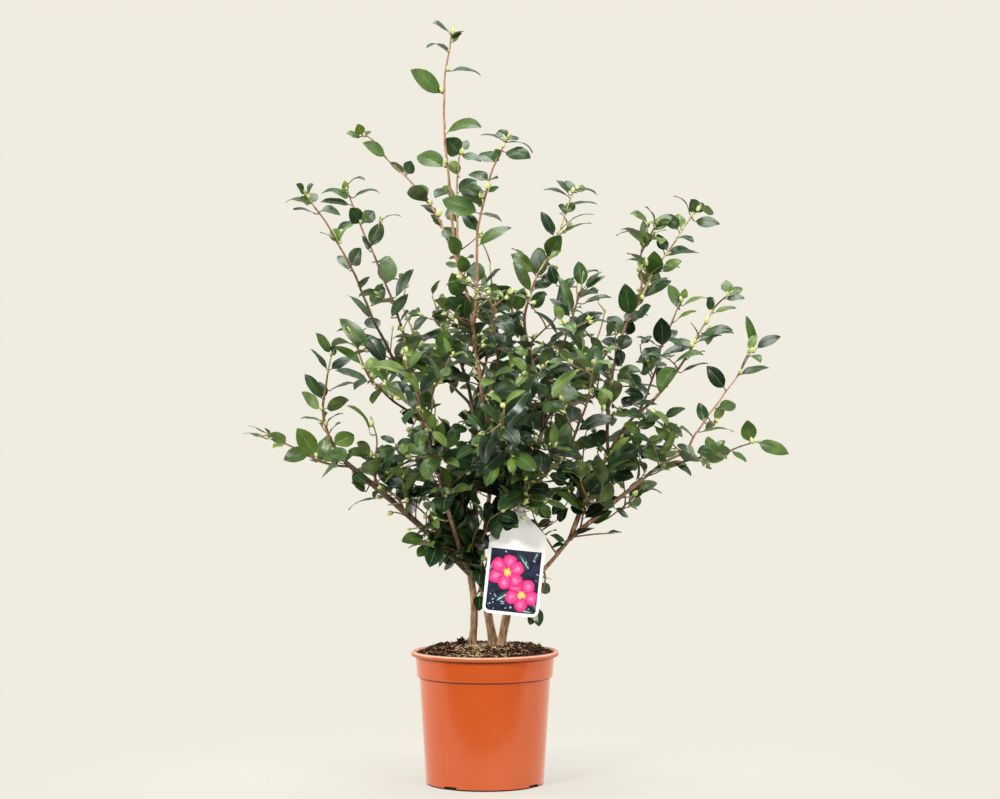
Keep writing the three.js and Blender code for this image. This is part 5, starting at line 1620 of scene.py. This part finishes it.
# strap: runs up from the neck, round the bough and down behind
hang = Vector((45, -49, 356))
tang = (Vector((106, -98, 428)) - Vector((30, -8, 292))).normalized()
ax1 = (Vector((0, 0, 1)) - tang * tang.z).normalized()
ax2 = tang.cross(ax1)
ring, faces = [], []
SW, SR, ST = 6.0, 4.2, 0.7
SN = 28
for k in range(SN):
    a = 2 * math.pi * k / SN
    for off, rr in ((-SW, SR), (SW, SR), (SW, SR + ST), (-SW, SR + ST)):
        ring.append(tuple(hang + tang * off + ax1 * math.cos(a) * rr + ax2 * math.sin(a) * rr))
for k in range(SN):
    q = (k + 1) % SN
    for j in range(4):
        i = (j + 1) % 4
        faces.append((k * 4 + j, k * 4 + i, q * 4 + i, q * 4 + j))
label.add(ring, faces, 0)

# a generic printed picture: two blossoms of plain petals on a dark ground
def printed(name, r, g, b, vary=0.06, scale=160):
    lo = rgb(r * (1 - vary), g * (1 - vary), b * (1 - vary))
    hi = rgb(min(255, r * (1 + vary)), min(255, g * (1 + vary)), min(255, b * (1 + vary)))
    return patterned(name, [(0.35, lo), (0.65, hi)], scale, 3, 0.34, 0.5, coat=0.25)


PRINT = [
    printed("print_ground", 33, 37, 57, 0.34, 120),
    printed("print_pink", 236, 48, 126),
    printed("print_rose", 205, 28, 98),
    printed("print_bright", 246, 84, 158),
    printed("print_blush", 252, 140, 192),
    printed("print_yellow", 246, 208, 84, 0.1, 400),
    printed("print_cream", 252, 236, 168),
    printed("print_leaf", 44, 74, 66, 0.25),
    printed("print_sky", 176, 190, 214, 0.2),
]
GROUND, PINK, ROSE, BRIGHT, BLUSH, YELLOW, CREAM, GREEN, SKYBIT = range(1, 10)
grid_plate(label, 4.0, 83.0, LABEL_T + 0.01, LABEL_T + 0.10, GROUND)


def print_shape(pts, lift, mat):
    """A thin printed patch on the card, cut to a fan about its middle."""
    cx, cy = sum(p[0] for p in pts) / len(pts), sum(p[1] for p in pts) / len(pts)
    ring = [(cx, cy)] + list(pts)
    vs = [tuple(lm @ Vector((x, y, LABEL_T + lift + bow_of(x, y)))) for x, y in ring]
    n = len(pts)
    fs = [(0, 1 + k, 1 + (k + 1) % n) for k in range(n)]
    vs += [tuple(lm @ Vector((x, y, LABEL_T + lift - 0.02 + bow_of(x, y)))) for x, y in ring]
    fs += [(n + 1, n + 2 + (k + 1) % n, n + 2 + k) for k in range(n)]
    fs += [(1 + k, n + 2 + k, n + 2 + (k + 1) % n, 1 + (k + 1) % n) for k in range(n)]
    label.add(vs, fs, mat)


def clamp_print(pts, x=31.5, y0=4.8, y1=82.0):
    out = []
    for px, py in pts:
        px, py = max(-x, min(x, px)), max(y0, min(y1, py))
        cx, cy = 31.8 - 5.0, 4.2 + 5.0  # the picture's own round corners
        if abs(px) > cx and py < cy:
            d = math.hypot(abs(px) - cx, py - cy)
            if d > 4.6:
                k = 4.6 / d
                px, py = math.copysign(cx + (abs(px) - cx) * k, px), cy + (py - cy) * k
        out.append((px, py))
    return out


def petal(cx, cy, ang, near, L, W, wave, phase, shrink=1.0, slide=0.0):
    """A rounded petal that leaves the blossom's middle at a small distance and widens outwards."""
    pts = []
    ca, sa = math.cos(ang), math.sin(ang)
    for k in range(30):
        th = 2 * math.pi * k / 30
        r = 1 + wave * math.cos(3 * th + phase) + 0.6 * wave * math.cos(5 * th - phase)
        y = near + L / 2 + slide + (L / 2) * math.cos(th) * r * shrink
        x = (W / 2) * math.sin(th) * r * shrink * (0.72 + 0.28 * min(1.2, max(0.0, (y - near) / L) * 1.3))
        pts.append((cx + x * ca + y * sa, cy - x * sa + y * ca))
    return pts


prnd = random.Random(11)
for cx, cy, ang, L, W in ((-20, 16, 0.9, 26, 10), (18, 60, -0.7, 24, 10), (24, 20, 2.3, 20, 9), (-25, 66, -2.4, 20, 8), (8, 8, 1.7, 22, 8), (22, 70, 0.4, 16, 7)):
    print_shape(clamp_print(petal(cx, cy, ang, 0, L, W, 0.02, 1)), 0.13, GREEN)
    print_shape(clamp_print(petal(cx, cy, ang, 1, L * 0.8, W * 0.16, 0.0, 1)), 0.15, SKYBIT)
for k in range(46):
    x, y = prnd.uniform(-30, 30), prnd.uniform(7, 80)
    if prnd.random() < 0.5:
        x, y = prnd.uniform(-30, 2), prnd.uniform(6, 26)
    size, turn0 = prnd.uniform(0.5, 1.7), prnd.uniform(0, 3.1)
    bit = []
    for i in range(6):
        a = i * math.pi / 3
        u, v = size * math.cos(a) * prnd.uniform(0.7, 1.5), 0.5 * size * math.sin(a)
        bit.append((x + u * math.cos(turn0) - v * math.sin(turn0), y + u * math.sin(turn0) + v * math.cos(turn0)))
    print_shape(clamp_print(bit), 0.17, SKYBIT)
lift = 0.20
for cx, cy, size, turn0, count in ((12, 27, 19.5, 0.55, 5), (-9, 54, 22.5, 0.15, 6)):
    order = list(range(0, count, 2)) + list(range(1, count, 2))
    for k in order:
        a = turn0 + 2 * math.pi * k / count + prnd.uniform(-0.08, 0.08)
        L, W, ph = size * prnd.uniform(0.92, 1.05), size * prnd.uniform(0.92, 1.04) * (1.0 if count == 5 else 0.86), prnd.uniform(0, 6.28)
        print_shape(clamp_print(petal(cx, cy, a, 1.2, L, W, 0.035, ph)), lift, ROSE)
        print_shape(clamp_print(petal(cx, cy, a, 1.2, L, W, 0.035, ph, 0.94, 0.2)), lift + 0.006, PINK)
        print_shape(clamp_print(petal(cx, cy, a, 1.2, L, W, 0.05, ph + 1, 0.66, 0.8)), lift + 0.012, BRIGHT)
        print_shape(clamp_print(petal(cx, cy, a + 0.05, 1.2, L, W * 0.8, 0.06, ph + 2, 0.34, 1.6)), lift + 0.018, BLUSH)
        for da in (-0.22, 0.0, 0.2):
            print_shape(clamp_print(petal(cx, cy, a + da, 2.5, L * 0.6, 0.5, 0.0, 0)), lift + 0.021, ROSE)
        lift += 0.026
    print_shape([(cx + 4.4 * math.cos(t), cy + 4.4 * math.sin(t)) for t in (i * math.pi / 9 for i in range(18))], lift, ROSE)
    for k in range(22):
        a, rr = 2 * math.pi * k / 22, prnd.uniform(2.6, 5.2)
        x, y = cx + rr * math.cos(a), cy + rr * math.sin(a)
        print_shape(petal(cx, cy, math.pi / 2 - a, 1.0, rr - 1.0, 0.55, 0, 0), lift + 0.006, CREAM)
        print_shape([(x + 0.85 * math.cos(t), y + 0.85 * math.sin(t)) for t in (i * math.pi / 4 for i in range(8))], lift + 0.012, YELLOW)
    print_shape([(cx + 2.5 * math.cos(t), cy + 2.5 * math.sin(t)) for t in (i * math.pi / 8 for i in range(16))], lift + 0.018, YELLOW)
    print_shape([(cx + 1.2 * math.cos(t), cy + 1.2 * math.sin(t)) for t in (i * math.pi / 8 for i in range(16))], lift + 0.024, CREAM)
    lift += 0.04

# ------------------------------------------------------------------ objects
MASS_OF_GROUP = {gname: [n for n in MASS_NAMES if group_of(n) == gname] for gname in GROUPS}
for gname in GROUPS:
    ob = leaf_builds[gname].make(LEAF_MATS)
    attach(ob, "root")
    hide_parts(*MASS_OF_GROUP[gname])

twigs = twig_build.make(TWIG_MATS)
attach(twigs, "root")

buds = bud_build.make(BUD_MATS)
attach(buds, "root")

stem_ob = stems.make([bark])
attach(stem_ob, "root")
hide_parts("left_stem", "middle_stem", "right_stem")

bough_ob = boughs.make(YOUNG_BARKS)
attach(bough_ob, "root")
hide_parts(*[l[0] for l in LIMBS if l[0].startswith("bough")])

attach(pot, "root")
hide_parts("pot")

soil_ob = soil.make([soil_mat])
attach(soil_ob, "root")
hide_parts("soil")
crumb_ob = crumbs.make(CRUMB_MATS)
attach(crumb_ob, "root")

label_ob = label.make([card_mat] + PRINT, smooth=False)
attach(label_ob, "root")
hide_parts("plant_label")

# ------------------------------------------------------------------ stage and light
BACK = rgb(240, 236, 224)
fm = bpy.data.materials.new("floor_pale")
fm.use_nodes = True
nt = fm.node_tree
for nd in list(nt.nodes):
    nt.nodes.remove(nd)


def maprange(nt, src, a, b, c, d, smooth=True):
    n = nt.nodes.new("ShaderNodeMapRange")
    n.inputs["From Min"].default_value = a
    n.inputs["From Max"].default_value = b
    n.inputs["To Min"].default_value = c
    n.inputs["To Max"].default_value = d
    if smooth:
        n.interpolation_type = "SMOOTHSTEP"
    nt.links.new(src, n.inputs["Value"])
    return n.outputs["Result"]


def math_node(nt, op, a, b):
    n = nt.nodes.new("ShaderNodeMath")
    n.operation = op
    for i, v in enumerate((a, b)):
        if isinstance(v, (int, float)):
            n.inputs[i].default_value = v
        else:
            nt.links.new(v, n.inputs[i])
    return n.outputs[0]


# The floor is pale paper. Close to the pot it takes its shadow, and further off it fades
# into the backdrop's own tone. What the pot's gloss mirrors is darker in front of the
# paper's edge, as in a studio.
out = nt.nodes.new("ShaderNodeOutputMaterial")
mix = nt.nodes.new("ShaderNodeMixShader")
dif = nt.nodes.new("ShaderNodeBsdfDiffuse")
emi = nt.nodes.new("ShaderNodeEmission")
dif.inputs["Color"].default_value = (0.60, 0.59, 0.545, 1)
tc = nt.nodes.new("ShaderNodeTexCoord")
ln = nt.nodes.new("ShaderNodeVectorMath")
ln.operation = "LENGTH"
sep = nt.nodes.new("ShaderNodeSeparateXYZ")
lp = nt.nodes.new("ShaderNodeLightPath")
nt.links.new(tc.outputs["Object"], ln.inputs[0])
nt.links.new(tc.outputs["Object"], sep.inputs[0])
emi.inputs["Color"].default_value = BACK
front = maprange(nt, sep.outputs["Y"], -0.32, -0.20, 0.0, 1.0)
seen = maprange(nt, lp.outputs["Is Camera Ray"], 0, 1, 0.80, 1.0, False)
glossy = maprange(nt, lp.outputs["Is Glossy Ray"], 0, 1, 1.0, 0.0, False)
# glossy rays: 1.25 behind the edge, nearly nothing in front of it
gl = math_node(nt, "MULTIPLY", lp.outputs["Is Glossy Ray"], math_node(nt, "ADD", math_node(nt, "MULTIPLY", front, 1.05), 0.06))
st = math_node(nt, "ADD", math_node(nt, "MULTIPLY", seen, glossy), gl)
nt.links.new(st, emi.inputs["Strength"])
far = maprange(nt, ln.outputs["Value"], 0.10, 0.62, 0.70, 1.0)
fac = math_node(nt, "MAXIMUM", far, lp.outputs["Is Glossy Ray"])
nt.links.new(fac, mix.inputs["Fac"])
nt.links.new(dif.outputs[0], mix.inputs[1])
nt.links.new(emi.outputs[0], mix.inputs[2])
nt.links.new(mix.outputs[0], out.inputs["Surface"])
bpy.ops.mesh.primitive_circle_add(vertices=96, radius=40, fill_type="NGON", location=(0, 0, 0))
floor = bpy.context.object
floor.name = "floor"
floor.data.materials.append(fm)

world = bpy.data.worlds.new("studio")
bpy.context.scene.world = world
world.use_nodes = True
wn = world.node_tree
bg = wn.nodes["Background"]
bg.inputs["Color"].default_value = BACK
bg.inputs["Strength"].default_value = 1.0
wtc = wn.nodes.new("ShaderNodeTexCoord")
wsep = wn.nodes.new("ShaderNodeSeparateXYZ")
wn.links.new(wtc.outputs["Generated"], wsep.inputs[0])
wlp = wn.nodes.new("ShaderNodeLightPath")
bg2 = wn.nodes.new("ShaderNodeBackground")
bg2.inputs["Color"].default_value = (1.0, 0.985, 0.95, 1)
# the white sweep stands behind and beside the plant, and the room in front is dim
around = maprange(wn, wsep.outputs["Y"], -0.75, 0.15, 0.18, 0.50)
above = maprange(wn, wsep.outputs["Z"], 0.1, 0.9, 0.0, 0.22)
wn.links.new(math_node(wn, "ADD", around, above), bg2.inputs["Strength"])
mx = wn.nodes.new("ShaderNodeMixShader")
wn.links.new(wlp.outputs["Is Camera Ray"], mx.inputs["Fac"])
wn.links.new(bg2.outputs[0], mx.inputs[1])
wn.links.new(bg.outputs[0], mx.inputs[2])
wn.links.new(mx.outputs[0], wn.nodes["World Output"].inputs["Surface"])


def area(name, loc, target, size, size_y, power, color=(1, 1, 1)):
    d = bpy.data.lights.new(name, "AREA")
    d.shape = "RECTANGLE"
    d.size, d.size_y, d.energy, d.color = size, size_y, power, color
    o = bpy.data.objects.new(name, d)
    bpy.context.collection.objects.link(o)
    o.location = loc
    o.rotation_euler = (Vector(target) - Vector(loc)).to_track_quat("-Z", "Y").to_euler()
    o.visible_camera = False
    return o


area("key", (-1.5, -2.3, 1.9), (0, 0, 0.35), 0.6, 0.6, 72, (1.0, 0.985, 0.96))
area("fill_right", (1.9, -2.1, 1.5), (0, 0, 0.35), 0.6, 0.6, 50, (1.0, 0.99, 0.97))
area("top", (0.1, 0.1, 2.7), (0, 0, 0.5), 1.5, 1.5, 46)
area("side_right", (2.1, 1.0, 0.7), (0, 0, 0.45), 0.5, 1.5, 16)
area("side_left", (-2.2, 0.5, 0.8), (0, 0, 0.45), 0.7, 1.5, 23)

sc = bpy.context.scene
sc.view_settings.view_transform = "Standard"
sc.view_settings.look = "None"
sc.view_settings.exposure = 0.0
sc.view_settings.gamma = 1.0

print("LEAVES", LEAF_COUNT, sum(LEAF_COUNT.values()), "shoots", len(sk.shoots), "tips", len(tips))
for b in list(leaf_builds.values()) + [twig_build, bud_build, stems, boughs, soil, crumbs, label]:
    print("TRIS", b.name, b.tris())
